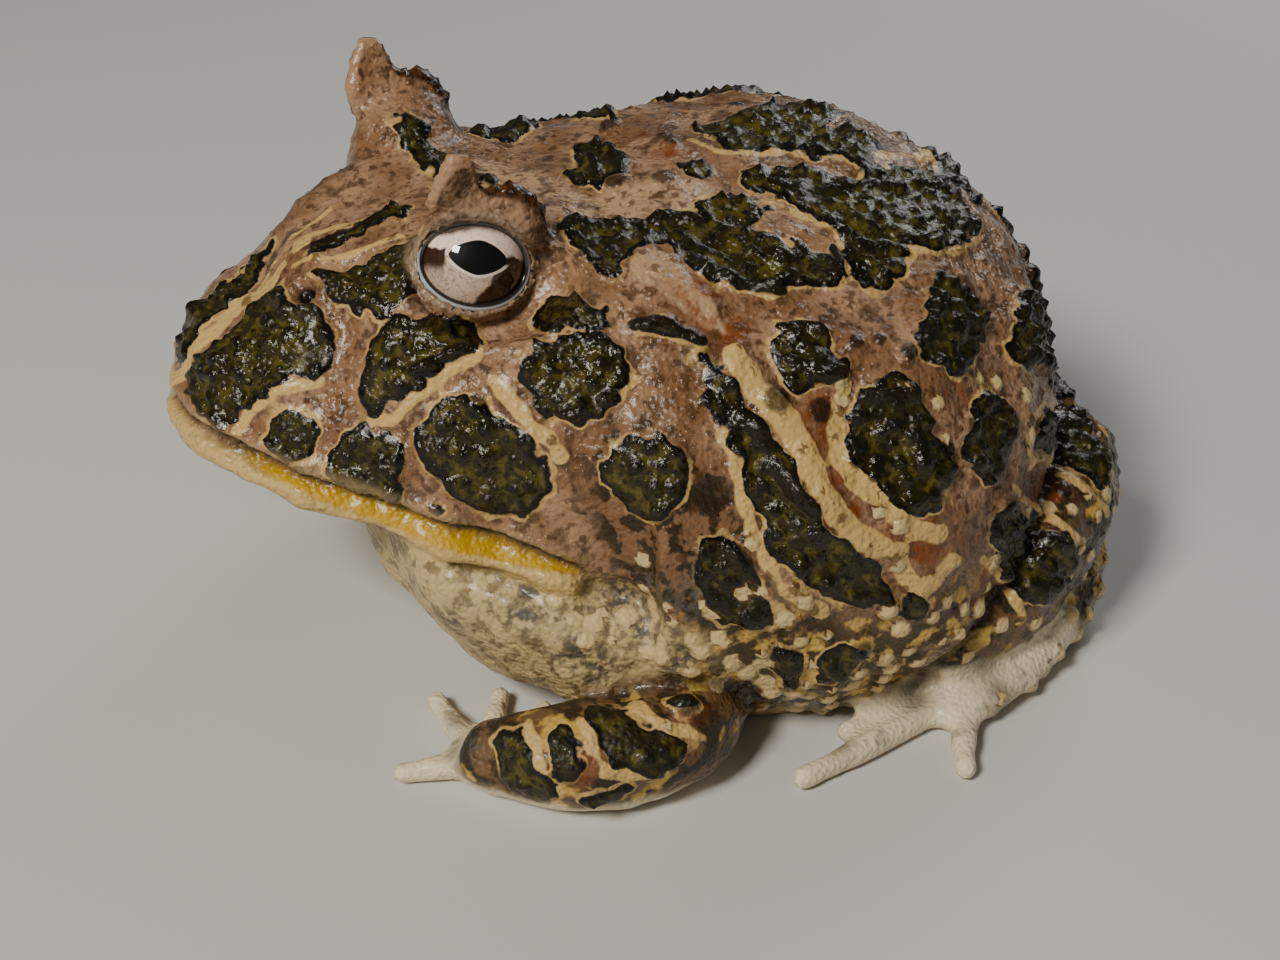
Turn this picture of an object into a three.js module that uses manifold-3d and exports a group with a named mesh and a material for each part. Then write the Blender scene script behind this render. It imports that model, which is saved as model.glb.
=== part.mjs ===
// Argentine horned frog at life size, sitting still with its limbs folded beside the body.
// Millimetres, +Z up. The frog looks along -Y and its own left side is +X.
// Every form is a closed skin of rings. Neighbours are cut back to leave a thin gap.
import * as THREE from 'three';
import { mergeVertices } from 'three/addons/utils/BufferGeometryUtils.js';
import Module from 'manifold-3d';

const wasm = await Module();
wasm.setup();

// Driving dimensions.
const GAP = 0.3;                 // between neighbouring pieces
const SNOUT_Y = -59;             // lip of the snout
const SNOUT_Z = 34.1;
const HEAD_PITCH = 11.2;         // degrees that the snout points up
const NECK_Y = -17;              // where the head meets the torso
const BACK_HEIGHT = 56;          // top of the back above the floor
const BODY_HALF_WIDTH = 45.5;
const WIDEST_Z = 19;             // height of the widest line of the body
const RUMP_Y = 46.5;
const EYE_RADIUS = 5.9;
const EYE_CENTRE = [25.9, 14.0, 22.6];   // back from the snout, sideways, up, along the head
const LIP_REACH = 36;            // how far back the lips run
const FINGER_RADIUS = 1.75;
const TOE_RADIUS = 1.9;

// The head's own axes: b runs back along the head, h runs up from the line of the mouth.
const pitch = THREE.MathUtils.degToRad(HEAD_PITCH);
const alongHead = new THREE.Vector3(0, Math.cos(pitch), -Math.sin(pitch));
const upHead = new THREE.Vector3(0, Math.sin(pitch), Math.cos(pitch));

function headPoint(x, b, h) {
  const base = new THREE.Vector3(x, SNOUT_Y, SNOUT_Z);
  return base.addScaledVector(alongHead, b).addScaledVector(upHead, h);
}

// Smooth value through rows of [place, value, value, ...] at one place.
function through(rows, place) {
  const last = rows.length - 1;
  const t = Math.min(Math.max(place, rows[0][0]), rows[last][0]);
  let i = 0;
  while (i < last - 1 && t >= rows[i + 1][0]) i += 1;
  const slope = (k, c) => (rows[k + 1][c] - rows[k][c]) / (rows[k + 1][0] - rows[k][0]);
  const tangent = (k, c) => {
    if (k === 0) return slope(0, c);
    if (k === last) return slope(last - 1, c);
    const before = rows[k][0] - rows[k - 1][0];
    const after = rows[k + 1][0] - rows[k][0];
    return (slope(k - 1, c) * after + slope(k, c) * before) / (before + after);
  };
  const span = rows[i + 1][0] - rows[i][0];
  const s = (t - rows[i][0]) / span;
  const values = [];
  for (let c = 1; c < rows[0].length; c += 1) {
    const fade = 2 * s ** 3 - 3 * s ** 2;
    const level = (1 + fade) * rows[i][c] - fade * rows[i + 1][c];
    const leave = (s ** 3 - 2 * s ** 2 + s) * span * tangent(i, c);
    const arrive = (s ** 3 - s ** 2) * span * tangent(i + 1, c);
    values.push(level + leave + arrive);
  }
  return values;
}

// Sine or cosine raised to a power with its sign kept, for rounded-box sections.
function bulge(value, exponent) {
  return Math.sign(value) * Math.abs(value) ** (2 / exponent);
}

// Closed skin of rings of points, with the first and last ring drawn in to a point each.
function skin(ringPoint, rings, sides, startPoint, endPoint) {
  const points = [];
  for (let i = 0; i < rings; i += 1) {
    for (let j = 0; j < sides; j += 1) {
      points.push(ringPoint(i / (rings - 1), (2 * Math.PI * j) / sides));
    }
  }
  points.push(startPoint, endPoint);
  const start = rings * sides;
  const faces = [];
  for (let j = 0; j < sides; j += 1) {
    const next = (j + 1) % sides;
    faces.push(start, next, j);
    faces.push(start + 1, (rings - 1) * sides + j, (rings - 1) * sides + next);
    for (let i = 0; i < rings - 1; i += 1) {
      const a = i * sides + j;
      const b = i * sides + next;
      faces.push(a, b, b + sides, a, b + sides, a + sides);
    }
  }
  const geometry = new THREE.BufferGeometry();
  const values = points.flatMap((p) => p.toArray());
  geometry.setAttribute('position', new THREE.Float32BufferAttribute(values, 3));
  geometry.setIndex(faces);
  return outward(geometry);
}

// The same geometry with its faces turned outward.
function outward(geometry) {
  const p = geometry.getAttribute('position');
  const index = geometry.getIndex().array;
  const corners = [new THREE.Vector3(), new THREE.Vector3(), new THREE.Vector3()];
  let volume = 0;
  for (let k = 0; k < index.length; k += 3) {
    corners.forEach((corner, n) => corner.fromBufferAttribute(p, index[k + n]));
    volume += corners[0].dot(corners[1].clone().cross(corners[2]));
  }
  if (volume > 0) return geometry;
  const turned = [];
  for (let k = 0; k < index.length; k += 3) turned.push(index[k], index[k + 2], index[k + 1]);
  geometry.setIndex(turned);
  return geometry;
}

// Round limb along stations of [x, y, z, half width, half height], with rounded ends.
function limb(stations, rings, sides) {
  const centres = stations.map((s) => new THREE.Vector3(s[0], s[1], s[2]));
  const path = new THREE.CatmullRomCurve3(centres, false, 'centripetal');
  const rows = stations.map((s, k) => [k / (stations.length - 1), s[3], s[4]]);
  const capRings = sides > 8 ? 3 : 2;
  const total = rings + 2 * capRings;
  const frame = (t) => {
    const ahead = path.getTangent(Math.min(Math.max(t, 0), 1));
    const side = new THREE.Vector3(0, 0, 1).cross(ahead).normalize();
    return { ahead, side, up: ahead.clone().cross(side).normalize() };
  };
  const place = (k) => {
    if (k < capRings) return { t: 0, swell: (k + 1) / (capRings + 1), end: -1 };
    if (k >= total - capRings) return { t: 1, swell: (total - k) / (capRings + 1), end: 1 };
    return { t: (k - capRings) / (rings - 1), swell: 1, end: 0 };
  };
  const ringPoint = (u, angle) => {
    const { t, swell, end } = place(Math.round(u * (total - 1)));
    const [wide, high] = through(rows, t);
    const { ahead, side, up } = frame(t);
    const scale = Math.sin((swell * Math.PI) / 2);
    const reach = end * Math.min(wide, high) * Math.cos((swell * Math.PI) / 2);
    return path.getPoint(t).addScaledVector(ahead, reach)
      .addScaledVector(side, wide * scale * Math.cos(angle))
      .addScaledVector(up, high * scale * Math.sin(angle));
  };
  const tip = (t, end) => {
    const [wide, high] = through(rows, t);
    return path.getPoint(t).addScaledVector(frame(t).ahead, end * Math.min(wide, high));
  };
  return skin(ringPoint, total, sides, tip(0, -1), tip(1, 1));
}

// Ellipsoid with its axes along the head: half lengths back, sideways and up.
function headEllipsoid(centre, halves, rings, sides) {
  const [b, x, h] = centre;
  const at = (lift, angle) => headPoint(
    x + halves[1] * Math.cos(lift) * Math.cos(angle),
    b + halves[0] * Math.cos(lift) * Math.sin(angle),
    h + halves[2] * Math.sin(lift),
  );
  const lift = (u) => -Math.PI / 2 + (Math.PI * (u * (rings - 1) + 1)) / (rings + 1);
  const ringPoint = (u, angle) => at(lift(u), angle);
  return skin(ringPoint, rings, sides, at(-Math.PI / 2, 0), at(Math.PI / 2, 0));
}

// The same geometry pushed out along its own vertex normals.
function grown(geometry, amount = GAP) {
  const copy = geometry.clone();
  copy.computeVertexNormals();
  const p = copy.getAttribute('position');
  const n = copy.getAttribute('normal');
  for (let i = 0; i < p.count; i += 1) {
    const x = p.getX(i) + amount * n.getX(i);
    const y = p.getY(i) + amount * n.getY(i);
    const z = p.getZ(i) + amount * n.getZ(i);
    p.setXYZ(i, x, y, z);
  }
  copy.deleteAttribute('normal');
  return copy;
}

function mirrored(geometry) {
  const copy = geometry.clone();
  copy.scale(-1, 1, 1);
  return outward(copy);
}

function solid(geometry) {
  const bare = geometry.clone();
  ['normal', 'uv'].forEach((name) => bare.deleteAttribute(name));
  const merged = mergeVertices(bare, 1e-5);
  return new wasm.Manifold(new wasm.Mesh({
    numProp: 3,
    vertProperties: new Float32Array(merged.getAttribute('position').array),
    triVerts: new Uint32Array(merged.getIndex().array),
  }));
}

// Geometry of the largest closed surface of a solid.
function largest(body) {
  const parts = body.decompose().sort((a, b) => b.volume() - a.volume());
  const mesh = parts[0].getMesh();
  const geometry = new THREE.BufferGeometry();
  const places = new Float32Array(mesh.vertProperties);
  geometry.setAttribute('position', new THREE.BufferAttribute(places, 3));
  geometry.setIndex(new THREE.BufferAttribute(new Uint32Array(mesh.triVerts), 1));
  return mergeVertices(geometry, 1e-4);
}

function joined(geometries) {
  return geometries.map(solid).reduce((sum, one) => sum.add(one));
}

function without(body, geometries) {
  return geometries.map(solid).reduce((rest, one) => rest.subtract(one), body);
}

// Box between two opposite corners.
function blockBetween(low, high) {
  const box = new THREE.BoxGeometry(high[0] - low[0], high[1] - low[1], high[2] - low[2]);
  box.translate((low[0] + high[0]) / 2, (low[1] + high[1]) / 2, (low[2] + high[2]) / 2);
  return box;
}

// Everything under the floor, everything behind the neck, and everything before it.
const FAR = 200;
const underFloor = blockBetween([-FAR, -FAR, -FAR], [FAR, FAR, 0]);
const behindNeck = blockBetween([-FAR, NECK_Y - GAP / 2, -FAR], [FAR, FAR, FAR]);
const beforeNeck = blockBetween([-FAR, -FAR, -FAR], [FAR, NECK_Y + GAP / 2, FAR]);

// Head. Its sections are given by rows of
// [b, lip half width, cheek half width, cheek height, brow half width, brow height, crown height].
const HEAD_ROWS = [
  [0.0, 2.5, 2.0, 1.8, 1.2, 3.0, 3.4],
  [1.6, 9.5, 8.2, 3.8, 4.6, 6.4, 6.8],
  [4.8, 14.2, 12.4, 5.6, 7.0, 10.6, 11.2],
  [10.0, 18.3, 16.4, 8.6, 8.6, 16.6, 17.4],
  [17.0, 22.8, 20.8, 11.6, 10.6, 22.6, 23.2],
  [24.0, 27.9, 26.0, 12.8, 13.6, 25.4, 26.0],
  [31.0, 31.3, 30.4, 12.8, 17.4, 26.6, 27.0],
  [37.0, 33.8, 34.4, 12.0, 20.4, 26.6, 28.2],
  [44.0, 37.4, 38.2, 10.6, 22.4, 27.0, 29.8],
  [52.0, 40.0, 41.0, 8.0, 24.0, 27.4, 31.4],
];
const MOUTH_ROWS = [
  [-2, 0], [5, -0.3], [10, -0.6], [17, -1.0], [24, -1.7], [31, -2.4], [37, -3.3], [54, -5.5],
];
const HEAD_END = 50;

function mouthHeight(b) {
  return through(MOUTH_ROWS, b)[0];
}

// Half of a head section from the lip up to the crown, as a smooth curve of the angle.
function headSection(b, angle) {
  const [lip, cheek, cheekUp, brow, browUp, crown] = through(HEAD_ROWS, b);
  const m = mouthHeight(b);
  const rim = [[0, lip, m], [0.34, cheek, cheekUp], [0.72, brow, browUp], [1, 0, crown]];
  const lift = Math.sin(angle);
  if (lift < 0) {
    return [bulge(Math.cos(angle), 2.6) * lip, m + 0.4 * lift];
  }
  const u = angle <= Math.PI / 2 ? angle / (Math.PI / 2) : (Math.PI - angle) / (Math.PI / 2);
  const [x, h] = through(rim, u);
  return [Math.cos(angle) >= 0 ? x : -x, h];
}

function headForm() {
  const ringPoint = (u, angle) => {
    const b = HEAD_END * u ** 1.5;
    const [x, h] = headSection(b, angle);
    return headPoint(x, b, h);
  };
  const front = headPoint(0, -0.5, 1.4);
  return skin(ringPoint, 16, 28, front, headPoint(0, HEAD_END, 10));
}

// Curve that follows the line of the mouth at a chosen height, from one corner to the other.
function lipStations(outset, rise, halfHeight, lastB) {
  const stations = [];
  const steps = 9;
  for (let k = -steps; k <= steps; k += 1) {
    const b = lastB * Math.abs(k / steps) ** 1.6;
    const [lip] = through(HEAD_ROWS, b);
    const ahead = k === 0 ? outset : 0;
    const p = headPoint(Math.sign(k) * (lip + outset), b - ahead, mouthHeight(b) + rise);
    stations.push([p.x, p.y, p.z, halfHeight, halfHeight]);
  }
  return stations;
}

// Lower jaw: a shallow dish with a rounded lip that reaches past the upper one.
// Rows of [b, how far it stays inside the lip, depth]. Its top is nearly flat.
const JAW_ROWS = [[0, -0.2, 3.6], [8, 0.2, 4.6], [25, 0.6, 5.2], [50, 1.2, 8]];
const JAW_TOP_POWER = 3.4;
const JAW_SIDE_POWER = 2.3;
function jawForm() {
  const ringPoint = (u, angle) => {
    const b = 0.4 + (HEAD_END - 1) * u ** 1.5;
    const [lip] = through(HEAD_ROWS, b);
    const [inset, depth] = through(JAW_ROWS, b);
    const upper = Math.sin(angle) > 0;
    const x = (lip - inset) * bulge(Math.cos(angle), upper ? JAW_TOP_POWER : JAW_SIDE_POWER);
    const swell = upper ? bulge(Math.sin(angle), JAW_TOP_POWER) : depth * bulge(Math.sin(angle), 2);
    return headPoint(x, b, mouthHeight(b) - 1 + swell);
  };
  return skin(ringPoint, 13, 18, headPoint(0, -0.1, -1.4), headPoint(0, HEAD_END - 0.6, -5));
}

// Throat and chest: a full sac under the jaw, rows of [y, half width, bottom, top].
const THROAT_ROWS = [
  [-41.6, 13.0, 19.5, 27.0],
  [-39.5, 21.0, 12.6, 26.5],
  [-36.0, 27.6, 6.4, 26.0],
  [-32.0, 32.0, 2.4, 26.0],
  [-26.0, 36.4, -0.4, 25.0],
  [-18.0, 39.8, -2.4, 25.0],
  [-8.0, 42.5, -3.5, 24.0],
];
const THROAT_POWER = 2.2;
function throatForm() {
  const ringPoint = (u, angle) => {
    const y = -41.6 + 33.6 * u ** 1.2;
    const [half, bottom, top] = through(THROAT_ROWS, y);
    const middle = bottom + (top - bottom) * 0.62;
    const reach = Math.sin(angle) > 0 ? top - middle : middle - bottom;
    const x = half * bulge(Math.cos(angle), THROAT_POWER);
    return new THREE.Vector3(x, y, middle + reach * bulge(Math.sin(angle), THROAT_POWER));
  };
  return skin(ringPoint, 10, 24, new THREE.Vector3(0, -42.6, 24.0), new THREE.Vector3(0, -8, 12));
}

// Torso: superellipse sections whose size closes like a dome towards the rump. The belly sags
// onto the floor, so its form dips below and is cut off flat.
// Rows of [y, half width, height of the back] and of [y, sag of the belly].
const FLANK_ROWS = [
  [-24, 39.0, 52.8],
  [-17, 41.0, 54.0],
  [-8, 43.4, 55.4],
  [4, BODY_HALF_WIDTH, BACK_HEIGHT],
  [60, BODY_HALF_WIDTH, BACK_HEIGHT],
];
const BELLY_ROWS = [[-24, 3], [-10, 7], [14, 7], [28, 2], [50, 0]];
const CLOSING_START = 8;         // place behind which the sections shrink
const TOP_POWER = 2.25;
const UNDER_POWER = 2.35;

function torsoSize(y) {
  const rearward = Math.max(y - CLOSING_START, 0) / (RUMP_Y - CLOSING_START);
  const close = (power) => Math.max(1 - rearward ** power, 0) ** (1 / power);
  const [half, crest] = through(FLANK_ROWS, y);
  const [sag] = through(BELLY_ROWS, y);
  return {
    half: half * close(1.74),
    top: (crest - WIDEST_Z) * close(2.4),
    under: (WIDEST_Z + sag) * close(2.3),
  };
}

function torsoForm() {
  const ringPoint = (u, angle) => {
    const y = -17.5 + (RUMP_Y + 17.4) * Math.sin((u * Math.PI) / 2) ** 1.1;
    const size = torsoSize(y);
    const lift = Math.sin(angle);
    const power = lift > 0 ? TOP_POWER : UNDER_POWER;
    const z = WIDEST_Z + (lift > 0 ? size.top : size.under) * bulge(lift, power);
    return new THREE.Vector3(size.half * bulge(Math.cos(angle), power), y, z);
  };
  const front = new THREE.Vector3(0, -17.6, WIDEST_Z);
  return skin(ringPoint, 18, 32, front, new THREE.Vector3(0, RUMP_Y, WIDEST_Z));
}

// Eye: a full ball.
function eyeForm() {
  return headEllipsoid(EYE_CENTRE, [EYE_RADIUS, EYE_RADIUS, EYE_RADIUS], 8, 14);
}

// Upper lid: a tilted dome over the eyeball that rises outward to its rim.
const BROW_TILT = 0.34;
function browPoint(b, x, h) {
  const lean = BROW_TILT * (x - EYE_CENTRE[1]);
  return headPoint(x, b, h + lean);
}

function browForm() {
  const [b, x, h] = EYE_CENTRE;
  const halves = [6.9, 7.0, 7.4];
  const at = (lift, angle) => browPoint(
    b + 0.4 + halves[0] * Math.cos(lift) * Math.sin(angle),
    x - 0.2 + halves[1] * Math.cos(lift) * Math.cos(angle),
    h + 0.6 + halves[2] * Math.sin(lift),
  );
  const ringPoint = (u, angle) => at(-Math.PI / 2 + (Math.PI * (u * 6 + 1)) / 8, angle);
  return skin(ringPoint, 7, 14, at(-Math.PI / 2, 0), at(Math.PI / 2, 0));
}

// Crest: a thin flap of skin along the outer rim of the lid. Its front part rises as a blunt horn
// and its rear part falls towards the back of the lid. Rows of [b from the eye, height of the top].
const CREST_ROWS = [
  [-6.7, 7.2], [-6.0, 11.4], [-4.4, 13.0], [-2.6, 11.9],
  [-1.1, 9.8], [1.6, 9.3], [4.0, 7.7], [6.2, 4.4],
];
const CREST_FOOT = 4.6;
const CREST_OUT = 3.0;
const CREST_LEAN = 0.3;
const CREST_SECTION = [[0, 1], [0.45, 0.86], [0.8, 0.55], [1, 0.2]];   // share of height, of thickness
function crestForm() {
  const [b, x, h] = EYE_CENTRE;
  const first = CREST_ROWS[0][0];
  const last = CREST_ROWS[CREST_ROWS.length - 1][0];
  const at = (along, share, side) => {
    const [top] = through(CREST_ROWS, along);
    const high = CREST_FOOT + (top - CREST_FOOT) * share;
    const thick = side * crestThickness(high) * through(CREST_SECTION, share)[0];
    return headPoint(x + CREST_OUT + CREST_LEAN * (high - 5) + thick, b + along, h + high);
  };
  const ringPoint = (u, angle) => {
    const share = (Math.sin(angle) + 1) / 2;
    return at(first + (last - first) * u, share, Math.cos(angle));
  };
  return skin(ringPoint, 12, 10, at(first - 0.4, 0.5, 0), at(last + 0.4, 0.5, 0));
}

function crestThickness(high) {
  const share = Math.min(Math.max((high - 5) / 7, 0), 1);
  return 1.75 - 0.95 * share;
}

// Everything of the lid that lies outward and below its rim.
function lidOpening() {
  const [b, x, h] = EYE_CENTRE;
  const block = blockBetween([-3, -15, -26], [30, 15, 0]);
  block.rotateY(THREE.MathUtils.degToRad(-24));
  block.rotateX(THREE.MathUtils.degToRad(-HEAD_PITCH));
  const p = headPoint(x, b, h + 3.2);
  block.translate(p.x, p.y, p.z);
  return block;
}

// Lower lid: a low ring round the eyeball where the head's skin meets it.
function lowerLidForm() {
  const [b, x, h] = EYE_CENTRE;
  return headEllipsoid([b, x - 0.6, h - 1.2], [7.0, 6.2, 6.0], 7, 14);
}

// Nostril: a small pit that slants into the snout, on a low rim.
const NOSTRIL = [11.2, 8.9, 16.4];
function nostrilRim() {
  return headEllipsoid([NOSTRIL[0], NOSTRIL[1], NOSTRIL[2] - 0.3], [2.0, 1.7, 1.7], 6, 10);
}
function nostrilPit() {
  return headEllipsoid([NOSTRIL[0] - 0.3, NOSTRIL[1] + 0.9, NOSTRIL[2] + 0.7], [0.9, 0.9, 0.9], 5, 8);
}

// Eardrum: a low oval disc behind the eye.
function eardrum() {
  return headEllipsoid([41.5, 33.3, 14.5], [2.4, 2.2, 3.3], 7, 12);
}

// Fore limb, folded at the elbow, with the forearm lying forward along the floor.
// Rows of a limb are [x, y, z, half width, half height], and points of a digit [x, y].
const UPPER_ARM = [
  [35.0, -8.6, 7.5, 5.2, 5.6],
  [40.0, -13.6, 6.2, 5.8, 6.0],
  [42.4, -19.6, 5.8, 5.8, 6.0],
];
const FOREARM = [
  [42.8, -22.4, 5.8, 5.6, 6.0],
  [40.6, -28.6, 5.8, 5.8, 6.0],
  [36.6, -34.0, 4.2, 4.4, 4.5],
];
const PALM = [
  [36.6, -34.0, 3.0, 3.8, 3.2],
  [34.0, -35.4, 2.4, 4.0, 2.7],
  [31.8, -35.6, 1.9, 3.6, 2.1],
];
const FINGERS = [
  [[34.0, -36.0], [33.0, -40.6], [32.4, -43.6]],
  [[31.4, -35.6], [25.8, -36.6], [21.6, -37.0]],
  [[31.6, -34.2], [27.0, -31.8], [23.2, -30.0]],
  [[33.4, -33.2], [30.2, -28.8], [27.4, -26.0]],
];

// Hind limb: thigh and shank folded beside the rump, the foot lying forward under them.
const THIGH = [
  [10, 41.0, 19, 5, 6.5],
  [18, 40.4, 20.5, 5.6, 7.0],
  [27, 34.0, 17.5, 6.4, 7.6],
  [34, 25.0, 13.0, 5.6, 6.6],
];
const SHANK = [
  [38.4, 17.4, 8.2, 4.6, 5.6],
  [36.8, 24.2, 10.6, 6.0, 7.4],
  [32.4, 33.0, 13.4, 6.4, 8.4],
  [26.4, 40.4, 16.6, 6.0, 8.2],
  [21.8, 43.8, 18.6, 5.0, 6.8],
];
const TARSUS = [[23.6, 44.6, 9.4, 3.6, 4.6], [29.6, 40.4, 5.4, 4.0, 4.6], [35.2, 32.8, 3.5, 4.2, 3.6]];
const SOLE = [[39.2, 25.6, 2.8, 4.4, 3.1], [41.4, 19.6, 2.4, 4.8, 2.6], [42.6, 15.8, 2.0, 4.4, 2.1]];
const TOES = [
  [[37.6, 24.0], [35.6, 20.4], [34.4, 17.6]],
  [[38.8, 19.6], [37.4, 13.2], [37.2, 9.8]],
  [[40.2, 17.0], [40.8, 9.6], [42.2, 4.6]],
  [[42.0, 16.6], [45.6, 4.6], [47.6, -3.4]],
  [[43.6, 19.0], [48.6, 15.6], [52.0, 14.0]],
];

// Digit: a round finger that narrows towards its tip and lies on the floor.
const DIGIT_SINK = 0.12;
function digit(points, thickness) {
  const stations = points.map(([x, y], k) => {
    const radius = thickness * (1 - 0.12 * k);
    return [x, y, radius - DIGIT_SINK, radius, radius];
  });
  return limb(stations, 3, 6);
}

function handForm() {
  return joined([limb(PALM, 4, 12), ...FINGERS.map((finger) => digit(finger, FINGER_RADIUS))]);
}

function footForm() {
  const heelPad = limb([...TARSUS, ...SOLE], 8, 11);
  return joined([heelPad, ...TOES.map((toe) => digit(toe, TOE_RADIUS))]);
}

// Bodies, from the head back. Each is cut clear of the ones before it.
const head = headForm();
const jaw = jawForm();
const lowerLip = limb(lipStations(-1.0, -2.3, 1.5, LIP_REACH), 15, 5);
const throat = throatForm();
const torso = torsoForm();
const eye = eyeForm();
const brow = browForm();
const bothSides = (geometry) => [geometry, mirrored(geometry)];

function lidSolid() {
  const cap = without(solid(brow), [lidOpening()]);
  return without(cap.add(solid(crestForm())), [grown(eye)]);
}

const lid = lidSolid();
const lidGeometry = largest(lid);

function headSolid() {
  const upperLip = limb(lipStations(-0.9, 1.0, 1.15, LIP_REACH), 15, 5);
  const added = [lowerLidForm(), nostrilRim(), eardrum()].flatMap(bothSides);
  const removed = [grown(eye), grown(brow), nostrilPit()].flatMap(bothSides);
  const opened = without(joined([head, upperLip, ...added]), removed);
  return without(opened, [grown(jaw), behindNeck]);
}

function jawSolid() {
  const groove = limb(lipStations(0.5, -0.2, 0.55, LIP_REACH + 1), 15, 4);
  return without(joined([jaw, lowerLip]), [groove, behindNeck]);
}

const headBody = headSolid();
const jawBody = jawSolid().subtract(headBody.translate([0, 0, -GAP]));

// Belly and throat rest on the digits, so they give way to them.
const fingers = FINGERS.map((finger) => digit(finger, FINGER_RADIUS));
const toes = TOES.map((toe) => digit(toe, TOE_RADIUS));
const digits = [...fingers, ...toes];
const digitRoom = digits.flatMap((one) => bothSides(grown(one)));

function throatSolid() {
  const above = [jaw, lowerLip, head].map((form) => grown(form));
  return without(solid(throat), [...above, behindNeck, underFloor, ...digitRoom]);
}

function torsoSolid() {
  return without(joined([torso, throat, head, jaw]), [beforeNeck, underFloor, ...digitRoom]);
}

const nodes = [];
function node(name, body, colour, roughness) {
  nodes.push({ name, body, colour, roughness });
}

const SKIN_OLIVE = 0x4d4a2b;
const SKIN_TAUPE = 0x8b7458;
const SKIN_CREAM = 0xcfc49a;
const HORN_CREAM = 0xb49a78;
const EYE_DARK = 0x1a1712;

node('head', headBody, SKIN_TAUPE, 0.45);
node('lower_jaw', jawBody, SKIN_CREAM, 0.4);
node('throat', throatSolid(), SKIN_CREAM, 0.5);
node('torso', torsoSolid(), SKIN_OLIVE, 0.45);

// Limbs of one side, root first, each cut clear of what it grows from.
function limbSolids() {
  const clearOf = [grown(torso), grown(throat), grown(jaw)];
  const upperArm = limb(UPPER_ARM, 5, 12);
  const forearm = limb(FOREARM, 5, 12);
  const thigh = limb(THIGH, 5, 12);
  const shank = limb(SHANK, 6, 12);
  const hand = handForm();
  const foot = footForm();
  return {
    upper_arm: without(solid(upperArm), [...clearOf, underFloor]),
    forearm: without(solid(forearm), [...clearOf, grown(upperArm), underFloor]),
    hand: without(hand, [...clearOf, grown(forearm), underFloor]),
    thigh: without(solid(thigh), [...clearOf, underFloor]),
    shank: without(solid(shank), [...clearOf, grown(thigh), underFloor]),
    foot: without(foot, [...clearOf, grown(thigh), grown(shank), underFloor]),
  };
}

const limbs = limbSolids();
const LIMB_COLOURS = {
  upper_arm: SKIN_TAUPE,
  forearm: SKIN_OLIVE,
  hand: SKIN_CREAM,
  thigh: SKIN_OLIVE,
  shank: SKIN_TAUPE,
  foot: SKIN_CREAM,
};

function meshOf(name, geometry, colour, roughness) {
  const material = new THREE.MeshStandardMaterial({ color: colour, roughness, metalness: 0 });
  const mesh = new THREE.Mesh(geometry, material);
  mesh.name = name;
  return mesh;
}

const frog = new THREE.Group();
for (const { name, body, colour, roughness } of nodes) {
  frog.add(meshOf(name, largest(body), colour, roughness));
}
for (const [side, flip] of [['left', (g) => g], ['right', mirrored]]) {
  frog.add(meshOf(`eye_${side}`, flip(eye), EYE_DARK, 0.1));
  frog.add(meshOf(`upper_eyelid_${side}`, flip(lidGeometry), HORN_CREAM, 0.5));
  for (const [name, body] of Object.entries(limbs)) {
    frog.add(meshOf(`${name}_${side}`, flip(largest(body)), LIMB_COLOURS[name], 0.45));
  }
}

// Stand the frog over the origin, with the middle of its box on it.
frog.updateMatrixWorld(true);
const box = new THREE.Box3().setFromObject(frog);
frog.position.y = -(box.min.y + box.max.y) / 2;
frog.updateMatrixWorld(true);

export default frog;
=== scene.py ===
# Argentine horned frog at life size, as a still museum model resting on a pale floor.
# The frog looks along -Y and its own left side is +X. Shapes are worked out in millimetres.
import math

import bpy
import numpy as np
from mathutils import Matrix, Vector
from mathutils.bvhtree import BVHTree
from mathutils.kdtree import KDTree


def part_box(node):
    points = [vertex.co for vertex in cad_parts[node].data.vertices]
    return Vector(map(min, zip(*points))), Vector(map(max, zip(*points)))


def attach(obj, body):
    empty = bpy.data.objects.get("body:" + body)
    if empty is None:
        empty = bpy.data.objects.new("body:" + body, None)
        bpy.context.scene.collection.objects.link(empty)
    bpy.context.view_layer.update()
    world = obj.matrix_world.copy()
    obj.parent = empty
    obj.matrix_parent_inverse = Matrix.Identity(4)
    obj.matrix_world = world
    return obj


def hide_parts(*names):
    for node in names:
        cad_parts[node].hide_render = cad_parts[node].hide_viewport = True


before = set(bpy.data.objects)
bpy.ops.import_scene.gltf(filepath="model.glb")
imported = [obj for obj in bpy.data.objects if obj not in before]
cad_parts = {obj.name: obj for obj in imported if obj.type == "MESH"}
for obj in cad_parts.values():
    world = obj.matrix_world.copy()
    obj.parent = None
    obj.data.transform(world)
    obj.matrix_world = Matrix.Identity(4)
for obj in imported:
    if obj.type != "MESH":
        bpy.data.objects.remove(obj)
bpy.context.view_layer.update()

# The head's own axes. The left eyeball of the solids carries them: the lip of the snout lies
# a known way ahead of it and below it. The head is tipped back a little.
HEAD_TIP = math.radians(11.2)
EYE_PLACE = np.array([25.9, 14.0, 22.6])  # back, sideways, up from the lip of the snout
EYE_RADIUS = 5.9
along_head = np.array([0.0, math.cos(HEAD_TIP), -math.sin(HEAD_TIP)])
up_head = np.array([0.0, math.sin(HEAD_TIP), math.cos(HEAD_TIP)])
eye_low, eye_high = (np.array(corner) * 1000 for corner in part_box("eye_left"))
snout = (eye_low + eye_high) / 2 - EYE_PLACE[0] * along_head - EYE_PLACE[2] * up_head
snout[0] = 0.0
SNOUT_DRAWN = -59.0  # where the snout lies in the drawing of the limbs and the torso
forward = np.array([0.0, snout[1] - SNOUT_DRAWN, 0.0])


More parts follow.
